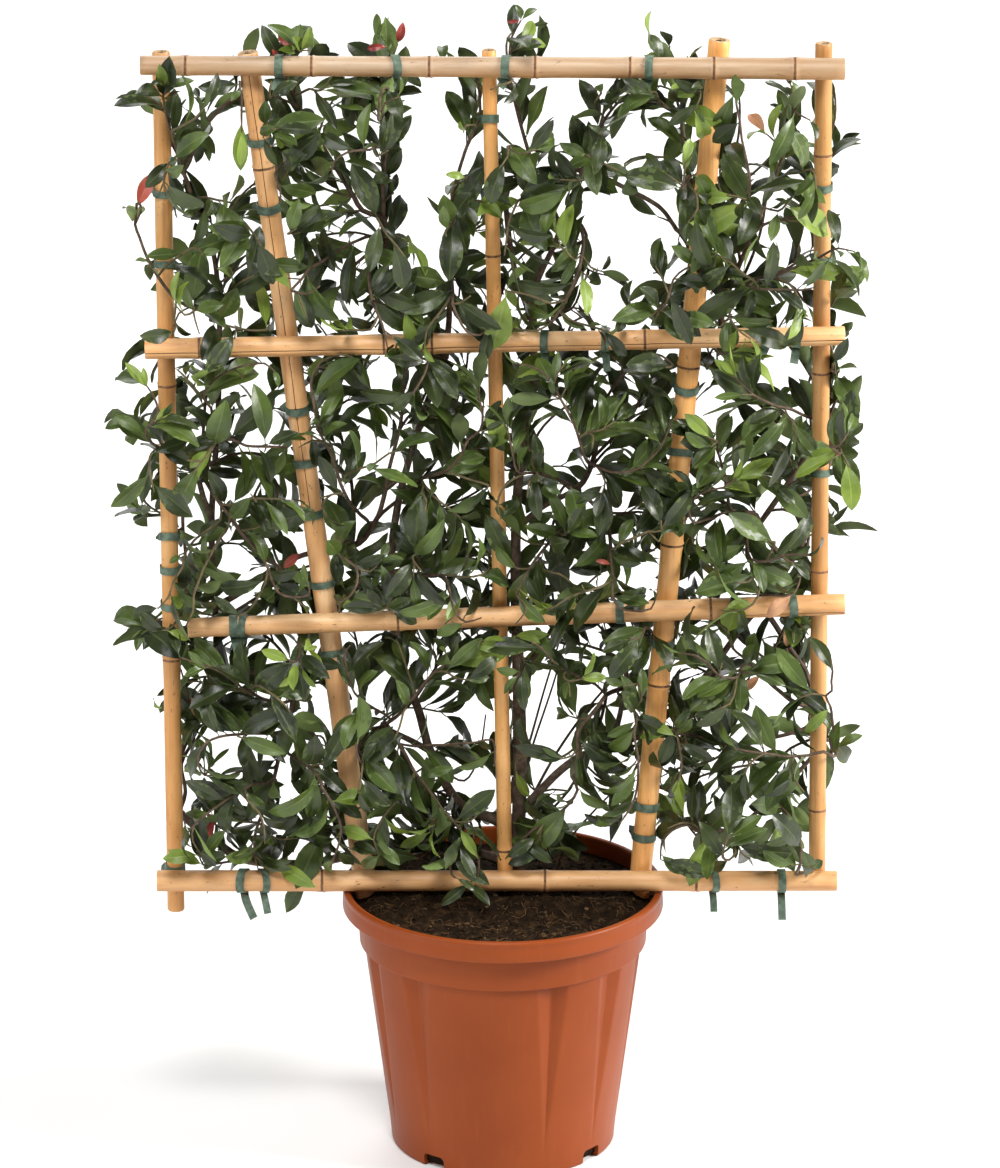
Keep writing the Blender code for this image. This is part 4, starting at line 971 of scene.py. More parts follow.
def make_pot(finish):
    pile = Pile("pot_body", [finish])
    pile.add(*closed_mesh(*ring_points(pot_levels())))
    pot = pile.make()
    tool = notch_cutter(finish)
    cut = pot.modifiers.new("notches", "BOOLEAN")
    cut.operation = "DIFFERENCE"
    cut.object = tool
    cut.solver = "EXACT"
    graph = bpy.context.evaluated_depsgraph_get()
    solid = bpy.data.meshes.new_from_object(pot.evaluated_get(graph))
    pot.modifiers.clear()
    pot.data = solid
    bpy.data.objects.remove(tool)
    gate = Pile("pot_gate", [finish])
    gate.add(*tube_mesh([Vector(point) for point in GATE_PATH], lambda k, angle: GATE_RADII[k], 20))
    solid.shade_smooth()
    solid.set_sharp_from_angle(angle=math.radians(28))
    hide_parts("pot")
    gate.make(40)


def soil_height(x, y):
    """The soil's surface: a rise where the canes stand, low mounds, lumps and grains."""
    spot = Vector((x, y, 0.0))
    slope = min(max((0.055 - abs(y + 0.012)) / 0.045, 0.0), 1.0)
    height = SOIL_RISE * slope * slope * (3 - 2 * slope)
    height += 0.0026 * noise.noise(spot * 18)
    height += 0.0019 * noise.fractal(spot * 70, 0.9, 2.1, 4)
    height += 0.0007 * noise.noise(spot * 420)
    edge = min(max((spot.length - 0.116) / 0.02, 0.0), 1.0)
    return SOIL_TOP - 0.0012 + height * (1 - 0.8 * edge) + 0.001 * edge


def make_soil_bed(finish):
    inset = WALL + GAP
    levels = [
        (FOOT_RADIUS - inset - 0.002, inset, 0.0), *body_levels(inset, 4),
        (COLLAR_RADIUS - WALL - 0.0022, COLLAR_STEP, 0.0), (COLLAR_RADIUS - inset, RIM_FOOT + 0.0016, 0.0)]
    points, count = ring_points(levels, 4)
    for k in range(BED_RINGS):
        radius = BED_REACH * (1 - k / BED_RINGS) ** 0.9
        for i in range(count):
            angle = i * math.tau / count
            x, y = radius * math.sin(angle), -radius * math.cos(angle)
            points.append((x, y, soil_height(x, y)))
    pile = Pile("soil_bed", [finish])
    pile.add(*closed_mesh(points, count))
    bed = pile.make()
    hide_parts("soil")


def crumb_ball():
    """Corners and faces of a rough ball of twenty faces."""
    corners = [Vector(corner).normalized() for corner in (
        (0, 0, 1), (0.9, 0, 0.4), (0.28, 0.85, 0.4), (-0.72, 0.53, 0.4), (-0.72, -0.53, 0.4),
        (0.28, -0.85, 0.4), (0.72, 0.53, -0.4), (-0.28, 0.85, -0.4), (-0.9, 0, -0.4),
        (-0.28, -0.85, -0.4), (0.72, -0.53, -0.4), (0, 0, -1))]
    faces = []
    for i in range(5):
        j = (i + 1) % 5
        faces += [(0, 1 + i, 1 + j), (1 + i, 6 + i, 1 + j), (6 + i, 6 + j, 1 + j), (11, 6 + j, 6 + i)]
    return corners, faces


def soil_spot(rng, reach):
    angle, radius = rng.uniform(0, math.tau), reach * math.sqrt(rng.random())
    return radius * math.cos(angle), radius * math.sin(angle)


def fibre_path(rng):
    """Points of a fibre that lies on the soil, cut off where it would leave the bed."""
    x, y = soil_spot(rng, FIBRE_START_REACH)
    heading, length = rng.uniform(0, math.tau), rng.uniform(0.003, 0.013)
    path = []
    for k in range(FIBRE_STEPS + 1):
        step = length * k / FIBRE_STEPS
        heading += rng.uniform(-0.4, 0.4)
        px, py = x + step * math.cos(heading), y + step * math.sin(heading)
        if math.hypot(px, py) > CRUMB_REACH:
            break
        lift = 0.0012 * math.sin(math.pi * k / FIBRE_STEPS) * rng.uniform(0.2, 2.0)
        path.append(Vector((px, py, soil_height(px, py) + 0.0004 + lift)))
    return path


def make_crumbs(finish, fibre):
    rng = random.Random(5)
    crumbs = Pile("soil_crumbs", [finish, fibre])
    corners, faces = crumb_ball()
    for _ in range(CRUMBS):
        x, y = soil_spot(rng, CRUMB_REACH)
        size = rng.choice(CRUMB_SIZES)
        stretch = Vector((rng.uniform(0.6, 1.5), rng.uniform(0.6, 1.3), rng.uniform(0.5, 0.9)))
        turn = Matrix.Rotation(rng.uniform(0, math.tau), 3, "Z")
        centre = Vector((x, y, soil_height(x, y) + 0.3 * size))
        shape = []
        for corner in corners:
            corner = corner * rng.uniform(0.8, 1.2)
            shape.append(tuple(centre + turn @ Vector(a * b * size for a, b in zip(corner, stretch))))
        crumbs.add(shape, faces, 0 if rng.random() < 0.8 else 1)
    for _ in range(FIBRES):
        path = fibre_path(rng)
        if len(path) > 2:
            radius = rng.uniform(0.00018, 0.00042)
            crumbs.add(*tube_mesh(path, lambda k, a, r=radius: r, 4), 1)
    crumbs.make(smooth=False)


# Bamboo

def frame_front(height):
    return FRAME_FOOT_Y + (height - FRAME_FOOT) * FRAME_LEAN


def cane_ends(name):
    """Both ends of a cane's centre line, and its radii; bars lie before the upright canes' fronts."""
    upright = name in UPRIGHTS
    (x0, z0), (x1, z1), r0, r1, *_ = (UPRIGHTS if upright else BARS)[name]
    if upright:
        return Vector((x0, frame_front(z0) + r0, z0)), Vector((x1, frame_front(z1) + r1, z1)), r0, r1
    return Vector((x0, frame_front(z0) - r0 - GAP, z0)), Vector((x1, frame_front(z1) - r1 - GAP, z1)), r0, r1


def cane_at(name, place):
    """Centre, direction and radius of a cane at a height, or at an x on a bar."""
    start, end, r0, r1 = cane_ends(name)
    axis = 2 if name in UPRIGHTS else 0
    share = (place - start[axis]) / (end[axis] - start[axis])
    return start.lerp(end, share), (end - start).normalized(), r0 + (r1 - r0) * share


def cane_runs(length, marks):
    """Where along a cane its rings of points lie: closer at its ends and at its swollen rings."""
    runs = {0.0, END_ROUND, length - END_ROUND, length}
    runs |= {k * CANE_STEP for k in range(1, int(length / CANE_STEP))}
    for mark in marks:
        runs = {run for run in runs if abs(run - mark) > RING_ROOM or run in (0.0, length)}
        runs |= {mark + side * away for away in RING_RUNS for side in (-1, 1)}
    return sorted(run for run in runs if 0.0 <= run <= length)


def swelling(away):
    return sum(high * math.exp(-((away - place) / wide) ** 2) for high, place, wide in RING_SHAPE)


def make_cane(name, skin, ring, cut, crack_shade_finish):
    """A cane with swollen rings, hollow cut ends and, on some, a crack along its length."""
    start, end, r0, r1 = cane_ends(name)
    rings, crack = (UPRIGHTS if name in UPRIGHTS else BARS)[name][4:]
    axis = 2 if name in UPRIGHTS else 0
    length = (end - start).length
    span = end[axis] - start[axis]
    marks = [(place - start[axis]) / span * length for place in rings]
    runs = cane_runs(length, marks)
    seed = name_seed(name)
    along = (end - start) / length
    front = square_to(FRONT, along)
    across = along.cross(front)

    def is_cracked(run, i):
        return bool(crack) and i < 2 and crack[1] < start[axis] + span * run / length < crack[2]

    def turn_at(run, i):
        drift = crack[0] + 0.09 * noise.noise(Vector((run * 16, seed, 0))) if crack else 0.0
        wide = 0.7 + 1.1 * math.exp(-abs(length - run) / 0.006)
        return drift + i * (wide if crack and i == 1 else 1.0) * math.tau / CANE_SIDES

    points, faces, slots = [], [], []
    for run in runs:
        radius = r0 + (r1 - r0) * (run / length)
        rounding = 0.0007 * max(0.0, 1 - min(run, length - run) / END_ROUND)
        grow = 1 + sum(swelling(run - mark) for mark in marks)
        for i in range(CANE_SIDES):
            angle = turn_at(run, i)
            wobble = 0.018 * noise.noise(Vector((math.cos(angle), math.sin(angle), run * 9 + seed)))
            wobble += 0.008 * noise.noise(Vector((3 * math.cos(angle), 3 * math.sin(angle), run * 60 + seed)))
            reach = radius * min(grow + wobble, 1.12) - rounding
            if is_cracked(run, i):
                reach -= CRACK_DEPTH
            points.append(start + along * run + reach * turned(front, across, angle))
    for k, (low, high) in enumerate(zip(runs, runs[1:])):
        on_ring = any(abs((low + high) / 2 - mark) < 0.001 for mark in marks)
        faces += band(k * CANE_SIDES, (k + 1) * CANE_SIDES, CANE_SIDES)
        slot = RING_SLOT if on_ring else 0
        slots += [CRACK_SHADE_SLOT if is_cracked(low, 0) else slot] + [slot] * (CANE_SIDES - 1)
    for tail in (False, True):
        place, radius, inward = (end, r1, -along) if tail else (start, r0, along)
        first = len(points)
        for reach, depth in HOLLOW:
            for i in range(CANE_SIDES):
                angle = turn_at(length if tail else 0.0, i)
                spot = Vector((2 * math.cos(angle), 2 * math.sin(angle), seed))
                lip = reach * (1 + 0.05 * noise.noise(spot))
                points.append(place + inward * depth + radius * lip * turned(front, across, angle))
        # The deepest band of the hollow and its bottom get the dark crack colour, which is painted shade
        levels = [(len(runs) - 1) * CANE_SIDES if tail else 0, *range(first, len(points), CANE_SIDES)]
        hollow = []
        for low, high, slot in zip(levels, levels[1:], (CUT_SLOT, CUT_SLOT, CRACK_SHADE_SLOT)):
            hollow += band(low, high, CANE_SIDES)
            slots += [slot] * CANE_SIDES
        hollow.append(tuple(range(levels[-1], len(points))))
        slots.append(CRACK_SHADE_SLOT)
        faces += hollow if tail else [face[::-1] for face in hollow]
    pile = Pile(name.replace("cane", "bamboo").replace("bar", "bamboo_bar"), [skin, ring, cut, crack_shade_finish])
    pile.add([tuple(point) for point in points], faces, slots)
    made = pile.make(42)
    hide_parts(name)


def make_bamboo():
    # The crack finish is painted shade for the splits and the depths of the hollows
    ring, cut, crack = ring_material(), cut_material(), crack_shade_material()
    for name in [*UPRIGHTS, *BARS]:
        start, end, radius, _ = cane_ends(name)
        tones, light = CANE_TONES_AND_PAINTED_LIGHT[name]
        # The lightness factor is partly painted light: it lightens canes lying in the leaves' shade and
        # darkens the strongly lit top bar
        tones = [tuple(light * part for part in tone) for tone in tones]
        if name in UPRIGHTS:
            tilt = -math.atan2(end.x - start.x, end.z - start.z)
            skin = bamboo_material("bamboo_" + name, tones, True, tilt, 0, 1)
        else:
            slope = math.atan2(end.z - start.z, end.x - start.x)
            height = start.z * math.cos(slope) - start.x * math.sin(slope)
            # The heights where a bar's painted shade on its lower side begins and ends
            skin = bamboo_material(
                "bamboo_" + name, tones, False, slope, height - 0.8 * radius, height + 0.2 * radius)
        make_cane(name, skin, ring, cut, crack)


# Ties

def strip_mesh(path, outward, width, thick):
    """Points and faces of a flat tape along a path; outward is the side that it shows at each point."""
    points = []
    for k, (place, out) in enumerate(zip(path, outward)):
        across = heading_at(path, k).cross(out).normalized()
        for a, b in ((-0.5, 0), (0.5, 0), (0.5, 1), (-0.5, 1)):
            points.append(tuple(place + across * (a * width) + out * (b * thick)))
    return closed_mesh(points, 4)


def wrap_path(cane, place, turn, slant):
    """A tape's way round a cane and the side that it shows; turn is where it leaves an upright cane."""
    centre, along, radius = cane_at(cane, place)
    front = square_to(FRONT, along)
    across = front.cross(along)
    if cane in UPRIGHTS:
        start_turn = turn + math.pi / 2 - 0.3
    else:
        start_turn = math.atan2(DOWN.dot(across), DOWN.dot(front)) - 0.35
    path, outward = [], []
    for k in range(WRAP_STEPS + 1):
        angle = start_turn + WRAP_TURNS * (k / WRAP_STEPS - 1)
        out = turned(front, across, angle)
        reach = radius * 1.045 + 0.0003 + 0.0006 * k / WRAP_STEPS
        path.append(centre + out * reach + along * (slant * reach * math.cos(angle)))
        outward.append(out)
    return path, outward, front, along


def make_ties(finish):
    rng = random.Random(8)
    count = 0
    for cane, ties in TIES.items():
        for place, tail, *rest in ties:
            node = rest.pop() if rest and isinstance(rest[-1], str) else None
            turn, droop = rest or (0.0, 1.0)
            slant = rng.uniform(-0.3, 0.3)
            sweep = rng.uniform(-0.9, 0.9)
            path, outward, front, along = wrap_path(cane, place, turn, slant)
            heading = tangent = (path[-1] - path[-2]).normalized()
            for k in range(TAIL_STEPS):
                pull = DOWN * droop + tangent * (1 - 0.5 * droop) + along * sweep
                heading = (heading + 0.35 * pull + 0.1 * front).normalized()
                path.append(path[-1] + heading * tail / TAIL_STEPS)
                outward.append(square_to(front, heading) if k else outward[-1])
            pile = Pile(f"tie_{count:02d}", [finish])
            pile.add(*strip_mesh(path, outward, TIE_WIDTH * rng.uniform(0.8, 1.0), TIE_THICK))
            made = pile.make(30)
            if node:
                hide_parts(node)
            count += 1


# Stems

def limb_shape(name):
    """Smooth path of a limb from inside its parent, with the radius at each point."""
    parent, r0, r1, points = LIMBS[name]
    path = smooth_path(points, LIMB_STEP)
    run, shape = 0.0, []
    length = sum((b - a).length for a, b in zip(path, path[1:]))
    for k, place in enumerate(path):
        run += (place - path[k - 1]).length if k else 0.0
        radius = r0 + (r1 - r0) * run / length
        flare = 0.25 * r0 if parent else FLARE_RADIUS - r0
        radius += flare * math.exp(-((run / FLARE_HEIGHT) ** 1.5))
        shape.append((place, radius))
    return shape


def make_limbs(finish, shapes):
    for name, shape in shapes.items():
        path = [place for place, _ in shape]
        radii = [radius for _, radius in shape]
        sides = TRUNK_SIDES if name == "trunk" else LIMB_SIDES
        seed = name_seed(name)

        def radius_at(k, angle):
            spot = Vector((1.5 * math.cos(angle), 1.5 * math.sin(angle), k * 0.16 + seed))
            rough = 0.1 * noise.fractal(spot, 0.8, 2.2, 3) + 0.05 * noise.noise(spot * 4)
            knot = 0.1 * max(0.0, noise.noise(Vector((k * 0.11, seed, 2.0)))) * math.cos(angle - seed)
            return min(radii[k] * (1 + rough + knot), radii[k] + 0.0008)

        piece = name.replace("bough", "stem").replace("spur", "side_stem").replace("trunk", "trunk_bark")
        pile = Pile(piece, [finish])
        pile.add(*tube_mesh(path, radius_at, sides))
        made = pile.make(70)
        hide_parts(name)


# Foliage: twigs grow to seeded goals in each mass's own space, and leaves sit along them

def line(a, b):
    (t0, v0), (t1, v1) = a, b
    slope = (v1 - v0) / (t1 - t0)
    return lambda t: v0 + slope * (t - t0)


def upright_line(name):
    start, end, *_ = cane_ends(name)
    return line((start.z, start.x), (end.z, end.x))


def bar_line(name):
    start, end, *_ = cane_ends(name)
    return line((start.x, start.z), (end.x, end.z))


COLUMNS = {
    "outer_left": lambda z: CROWN_LEFT,
    "inner_left": upright_line("cane_inner_left"),
    "leader_split": lambda z: -0.082,
    "middle": upright_line("cane_middle"),
    "arch_split": lambda z: 0.108,
    "inner_right": upright_line("cane_inner_right"),
    "outer_right": lambda z: CROWN_RIGHT,
}
ROWS = {
    "foot": lambda x: CROWN_FOOT,
    "lower": bar_line("bar_lower"),
    "upper": bar_line("bar_upper"),
    "top": lambda x: CROWN_TOP,
}


class Space:
    """The room of one mass: between two columns and two rows, from the crown's front to its back."""

    def __init__(self, columns, rows):
        self.left, self.right = (COLUMNS[name] for name in columns)
        self.low, self.high = (ROWS[name] for name in rows)

    def holds(self, point, spare=0.0):
        x, y, z = point
        return (
            self.left(z) - spare < x < self.right(z) + spare
            and self.low(x) - spare < z < self.high(x) + spare
            and CROWN_FRONT < y < CROWN_BACK
        )

    def goals(self, rng):
        low, high = self.low(0.0), self.high(0.0)
        left, right = self.left((low + high) / 2), self.right((low + high) / 2)
        found = []
        for _ in range(GOAL_TRIES):
            point = Vector((
                rng.uniform(left - GOAL_SIDE_MARGIN, right + GOAL_SIDE_MARGIN),
                rng.uniform(CROWN_FRONT + GOAL_MARGIN, CROWN_BACK - GOAL_MARGIN),
                rng.uniform(low - GOAL_MARGIN, high + GOAL_MARGIN)))
            if not self.holds(point) or in_sky(point) or outside_crown(point):
                continue
            if outside_reach(point, -GOAL_INSET):
                continue
            if all((point - other).length > GOAL_SPACING for other in found):
                found.append(point)
        return found


def seen_height(point):
    """Where a point shows on the frame's plane, seen from the front and a little above."""
    return point[2] + SIGHT_SLOPE * (point[1] - FRAME_FOOT_Y)


def in_sky(point):
    height = seen_height(point)
    return any(x0 < point[0] < x1 and z0 < height < z1 for x0, x1, z0, z1 in SKY)


def at_overhang(point):
    height = seen_height(point)
    return any((point[0] - x) ** 2 + (height - z) ** 2 < OVERHANG_ROOM ** 2 for x, z in OVERHANGS)


def outside_crown(point):
    return not (BODY_LEFT < point.x < BODY_RIGHT and BODY_FOOT < point.z < BODY_TOP)


def limit_at(reach, place):
    return next(limit for bound, limit in reach if place < bound)


def outside_reach(point, spare):
    """True if a point lies past the crown's outline and near none of its furthest tips."""
    x, z = point[0], seen_height(point)
    past = (
        x < limit_at(LEFT_REACH, z) - spare or x > limit_at(RIGHT_REACH, z) + spare
        or z > limit_at(TOP_REACH, x) + spare or z < limit_at(FOOT_REACH, x) - spare
    )
    return past and all((x - tx) ** 2 + (z - tz) ** 2 > TIP_ROOM ** 2 for tx, _, tz in TIPS)


def outside_depth(point):
    """True past the crown's front or back, which stand out by tufts and draw back between them."""
    x, y, z = point
    across = math.sin(31 * x + 3 * math.sin(9 * z + 1))
    upward = math.sin(27 * z + 2 * math.sin(11 * x + (4 if y > 0 else 0)))
    room = DEPTH_SHARE + TUFT_SHARE * (across * upward)
    return abs(y - DEPTH_MIDDLE) > room * (CROWN_BACK - CROWN_FRONT) / 2


def inside_box(point):
    return (
        CROWN_LEFT < point[0] < CROWN_RIGHT and CROWN_FRONT < point[1] < CROWN_BACK
        and CROWN_FOOT < point[2] < CROWN_TOP
    )


def skin_tree(kinds, swell):
    """A search tree of the surfaces of these kinds of pieces, swollen by a clearance."""
    places, faces = [], []
    for name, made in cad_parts.items():
        if not name.startswith(kinds):
            continue
        mesh = made.data
        first = len(places)
        for vertex in mesh.vertices:
            places.append(vertex.co + vertex.normal * swell)
        for face in mesh.polygons:
            faces.append([first + index for index in face.vertices])
    return BVHTree.FromPolygons(places, faces)


def touches(points, faces, tree):
    return bool(BVHTree.FromPolygons(points, faces).overlap(tree))


def prism(start, end, radius):
    """Points and faces of a thin three-sided bar, to test a step of a twig."""
    heading = (end - start).normalized()
    side = heading.orthogonal().normalized()
    other = heading.cross(side)
    points = []
    for place in (start, end):
        for k in range(3):
            angle = k * math.tau / 3
            points.append(place + radius * turned(side, other, angle))
    return points, [(0, 1, 4, 3), (1, 2, 5, 4), (2, 0, 3, 5), (2, 1, 0), (3, 4, 5)]


def covers_frame(point, canes):
    """True if a cane or bar lies behind this point, as seen from the front and a little above."""
    return canes.ray_cast(point, INWARDS, FRAME_DEPTH)[0] is not None


def start_joints(start, heading, shoots):
    """The bough's tip and the joints of the mass's own shoots, each led on from the joint nearest to it."""
    joints = [start, start + heading * TWIG_STEP * FIRST_STEP]
    parents = [-1, 0]
    for points in shoots:
        path = smooth_path(points, TWIG_STEP)
        near = min(range(len(joints)), key=lambda i: (joints[i] - path[0]).length)
        for place in path[1:]:
            parents.append(near)
            near = len(joints)
            joints.append(place)
    return joints, parents


def is_free(origin, spot, joints, space, skin, canes, rng):
    """True if a twig's step stays in its mass and the crown, clear of the frame, the sky and other joints."""
    if not space.holds(spot) or in_sky(spot) or outside_crown(spot) or outside_reach(spot, 0.0):
        return False
    if square_gaps(joints, spot).min() < (JOINT_ROOM * TWIG_STEP) ** 2:
        return False
    if rng.random() > THROUGH_FRAME and not at_overhang(spot) and covers_frame(spot, canes):
        return False
    return not touches(*prism(origin, spot, TWIG_ROOM), skin)


def grow_joints(joints, parents, goals, space, skin, canes, rng):
    """Grows joints step by step towards the goals, each pulled by the goals nearest to it."""
    waiting = list(goals)
    for _ in range(GROWTH_ROUNDS):
        pulls = {}
        spots = np.array(joints[1:])
        for goal in waiting:
            near = 1 + int(square_gaps(spots, goal).argmin())
            pulls.setdefault(near, []).append(goal)
        for near, pulling in pulls.items():
            origin = joints[near]
            drift = sum(((goal - origin).normalized() for goal in pulling), Vector())
            if drift.length < WEAK_PULL:
                drift = pulling[0] - origin
            ahead = (origin - joints[parents[near]]).normalized()
            drift.normalize()
            for attempt in range(GROWTH_TRIES):
                wander = Vector((rng.uniform(-1, 1), rng.uniform(-1, 1), rng.uniform(-1, 1)))
                wander = (WANDER + MORE_WANDER * attempt) * wander
                course = drift + STRAIGHTNESS * ahead + wander + Vector((0, 0, LIFT))
                spot = origin + course.normalized() * TWIG_STEP
                if is_free(origin, spot, joints, space, skin, canes, rng):
                    joints.append(spot)
                    parents.append(near)
                    break
            else:
                waiting.remove(nearest(pulling, origin))
        if not waiting:
            break
        spots = np.array(joints)
        waiting = [goal for goal in waiting if square_gaps(spots, goal).min() > GOAL_REACHED ** 2]


def chains_of(joints, parents):
    """Splits the joints into twigs, the longest first, each starting on the twig it leaves."""
    children = {i: [] for i in range(len(joints))}
    for child, parent in enumerate(parents):
        if parent >= 0:
            children[parent].append(child)
    size = [1] * len(joints)
    for child in range(len(joints) - 1, 0, -1):
        size[parents[child]] += size[child]
    chains = []
    starts = [(0, None)]
    while starts:
        first, origin = starts.pop(0)
        chain = [first] if origin is None else [origin, first]
        while children[chain[-1]]:
            ordered = sorted(children[chain[-1]], key=lambda i: -size[i])
            starts += [(other, chain[-1]) for other in ordered[1:]]
            chain.append(ordered[0])
        chains.append(chain)
    return chains, size


def leaf_half_width(v):
    """The blade's half width along its length, as a share of its widest, which lies past the middle."""
    return (v * (1 - v) ** 0.9) / (0.526 * 0.474 ** 0.9)


class LeafShape:
    """The grid that every leaf is bent from, worked out once."""

    def __init__(self):
        self.rows = np.array(LEAF_ROWS)
        self.columns = np.array(LEAF_COLUMNS)
        self.half = np.array([max(leaf_half_width(v), 0.035) for v in LEAF_ROWS])
        self.half[0] = 0.07
        count, wide = len(self.rows), len(self.columns)
        faces, slots = [], []
        for r in range(count - 1):
            for c in range(wide - 1):
                a = r * wide + c
                faces.append((a, a + 1, a + wide + 1, a + wide))
                slots.append(1 if c == 2 else 0)
        self.under_start = count * wide
        under = 3

        def below(r, c):
            if c == 0:
                return r * wide
            if c == under + 1:
                return r * wide + wide - 1
            return self.under_start + r * under + c - 1

        for r in range(count - 1):
            for c in range(under + 1):
                faces.append((below(r, c + 1), below(r, c), below(r + 1, c), below(r + 1, c + 1)))
                slots.append(2)
        for r, flip in ((0, False), (count - 1, True)):
            loop = [r * wide + c for c in range(wide)] + [below(r, c) for c in (3, 2, 1)]
            faces.append(tuple(loop[::-1] if flip else loop)[::-1])
            slots.append(0)
        self.faces, self.slots = faces, slots
        coarse = [0, 2, 4, 6, 8]
        self.test_faces = []
        for a, b in zip(coarse, coarse[1:]):
            for left, right in ((0, 2), (3, 5)):
                self.test_faces.append((a * wide + left, a * wide + right, b * wide + right, b * wide + left))

    def bend(self, root, along, up, length, half_width, fold, arch, twist, ripple):
        """World points of a leaf: folded up from its midrib, arched back along its length and twisted."""
        turn = arch * (self.rows - 0.25)
        step = np.diff(self.rows, prepend=0.0) * length
        run_along = np.cumsum(step * np.cos(turn))
        run_up = -np.cumsum(step * np.sin(turn))
        side = np.cross(up, along)
        u = self.columns[None, :]
        half = (self.half * half_width)[:, None]
        reach = u * half
        lift = fold * np.abs(reach) * (1 - 0.45 * np.abs(u))
        lift = lift + ripple[0] * half_width * np.sin(ripple[1] + 11 * self.rows)[:, None] * u * np.abs(u)
        roll = (twist * self.rows)[:, None]
        flat, raised = reach * np.cos(roll) - lift * np.sin(roll), reach * np.sin(roll) + lift * np.cos(roll)
        lean_along, lean_up = np.sin(turn)[:, None], np.cos(turn)[:, None]
        forward = run_along[:, None] + raised * lean_along
        upward = run_up[:, None] + raised * lean_up
        top = root + forward[..., None] * along + flat[..., None] * side + upward[..., None] * up
        thin = LEAF_THICK * np.minimum(1.0, 4 * self.half)[:, None, None]
        down = (lean_along[..., None] * along + lean_up[..., None] * up) * -thin
        under = np.stack([top[:, 1], 0.5 * (top[:, 2] + top[:, 3]), top[:, 4]], axis=1) + down * (1, 1, 1)
        return np.concatenate([top.reshape(-1, 3), under.reshape(-1, 3)])


class Foliage:
    """The leaves of one mass, each tested against the frame, the limbs and the mass's leaves near it."""

    def __init__(self, name, space, skin, canes, shape, finishes, rng):
        self.space, self.skin, self.canes, self.shape, self.rng = space, skin, canes, shape, rng
        self.pile = Pile(name, finishes)
        self.middles = []
        self.trees = []

    def crowds(self, tree, middle):
        if not self.middles:
            return False
        near = np.nonzero(square_gaps(self.middles, middle) < NEAR_LEAVES ** 2)[0]
        return any(tree.overlap(self.trees[i]) for i in near)

    def add(self, foot, along, up, length, tone, spare, free=BOUND):
        """Adds a leaf on its short stalk if it finds room."""
        rng = self.rng
        along = np.array(along.normalized())
        up = np.array(up)
        up = up - along * up.dot(along)
        up /= np.linalg.norm(up)
        root = np.array(foot) + along * PETIOLE * length / LEAF_LENGTH
        half_width = 0.5 * length * LEAF_SHARE * rng.uniform(*LEAF_WIDTHS)
        points = self.shape.bend(
            root, along, up, length, half_width, rng.uniform(*LEAF_FOLDS), rng.uniform(*LEAF_ARCHES),
            rng.uniform(*LEAF_TWISTS), (rng.uniform(*LEAF_RIPPLES), rng.uniform(0, math.tau)))
        low, high = points.min(0), points.max(0)
        if not (inside_box(low) and inside_box(high)):
            return False
        middle, tip = points[MIDDLE_POINT], points[TIP_POINT]
        if free < PLACED and outside_depth(tip):
            return False
        if free == BOUND and (in_sky(middle) or in_sky(tip) or outside_reach(middle, 0.0)):
            return False
        if not self.space.holds(tip, spare) or (free < PLACED and outside_reach(tip, 0.004)):
            return False
        spots = [Vector(points[i]) for i in SEEN_POINTS]
        if rng.random() > OVER_FRAME and any(
                covers_frame(spot, self.canes) and not at_overhang(spot) for spot in spots):
            return False
        places = [tuple(point) for point in points[:self.shape.under_start]]
        tree = BVHTree.FromPolygons(places, self.shape.test_faces)
        if tree.overlap(self.skin) or self.crowds(tree, middle):
            return False
        self.middles.append(middle)
        self.trees.append(tree)
        self.pile.add(points, self.shape.faces, [slot + 3 * tone for slot in self.shape.slots])
        stalk = [Vector(foot), Vector(root + along * STALK_IN_BLADE)]
        size = PETIOLE_RADIUS * length / LEAF_LENGTH
        self.pile.add(*tube_mesh(stalk, lambda k, angle: size, STALK_SIDES), 3 * tone + 1)
        return True

    def grow(self, place, heading, turn, length, lean, tone, free):
        """Tries a few turns round the twig until a leaf of this length finds room."""
        side = heading.orthogonal().normalized()
        other = heading.cross(side)
        for attempt in range(LEAF_TURNS):
            angle = turn + attempt * GOLDEN_ANGLE
            outward = turned(side, other, angle)
            along = heading * math.cos(lean) + outward * math.sin(lean) + Vector((0, 0, 0.1))
            facing = -0.4 if place[1] < 0.045 else 0.3
            inward = heading * math.sin(lean) - outward * math.cos(lean)
            scatter = Vector([self.rng.uniform(-0.5, 0.5) for _ in range(3)])
            up = 0.9 * inward + Vector((0, facing, 0.45)) + scatter
            if self.add(place, along, up, length, tone, SHOOT_SPARE if free else SPARE, free):
                return True
        return False


def crown_goals(space, outline, rng):
    """Goals in the mass's room, round its overhanging leaves and just inside its furthest tips."""
    goals = space.goals(rng)
    for x, z in OVERHANGS:
        for away, rise in OVERHANG_GOALS:
            goal = Vector((x + away, OVERHANG_GOAL_DEPTH, z + rise))
            if space.holds(goal) and not in_sky(goal):
                goals.append(goal)
    for goal in outline:
        inward = (nearest(goals, goal) - goal).normalized()
        goals.append(goal + inward * LEAF_LENGTH * 0.9)
    return goals


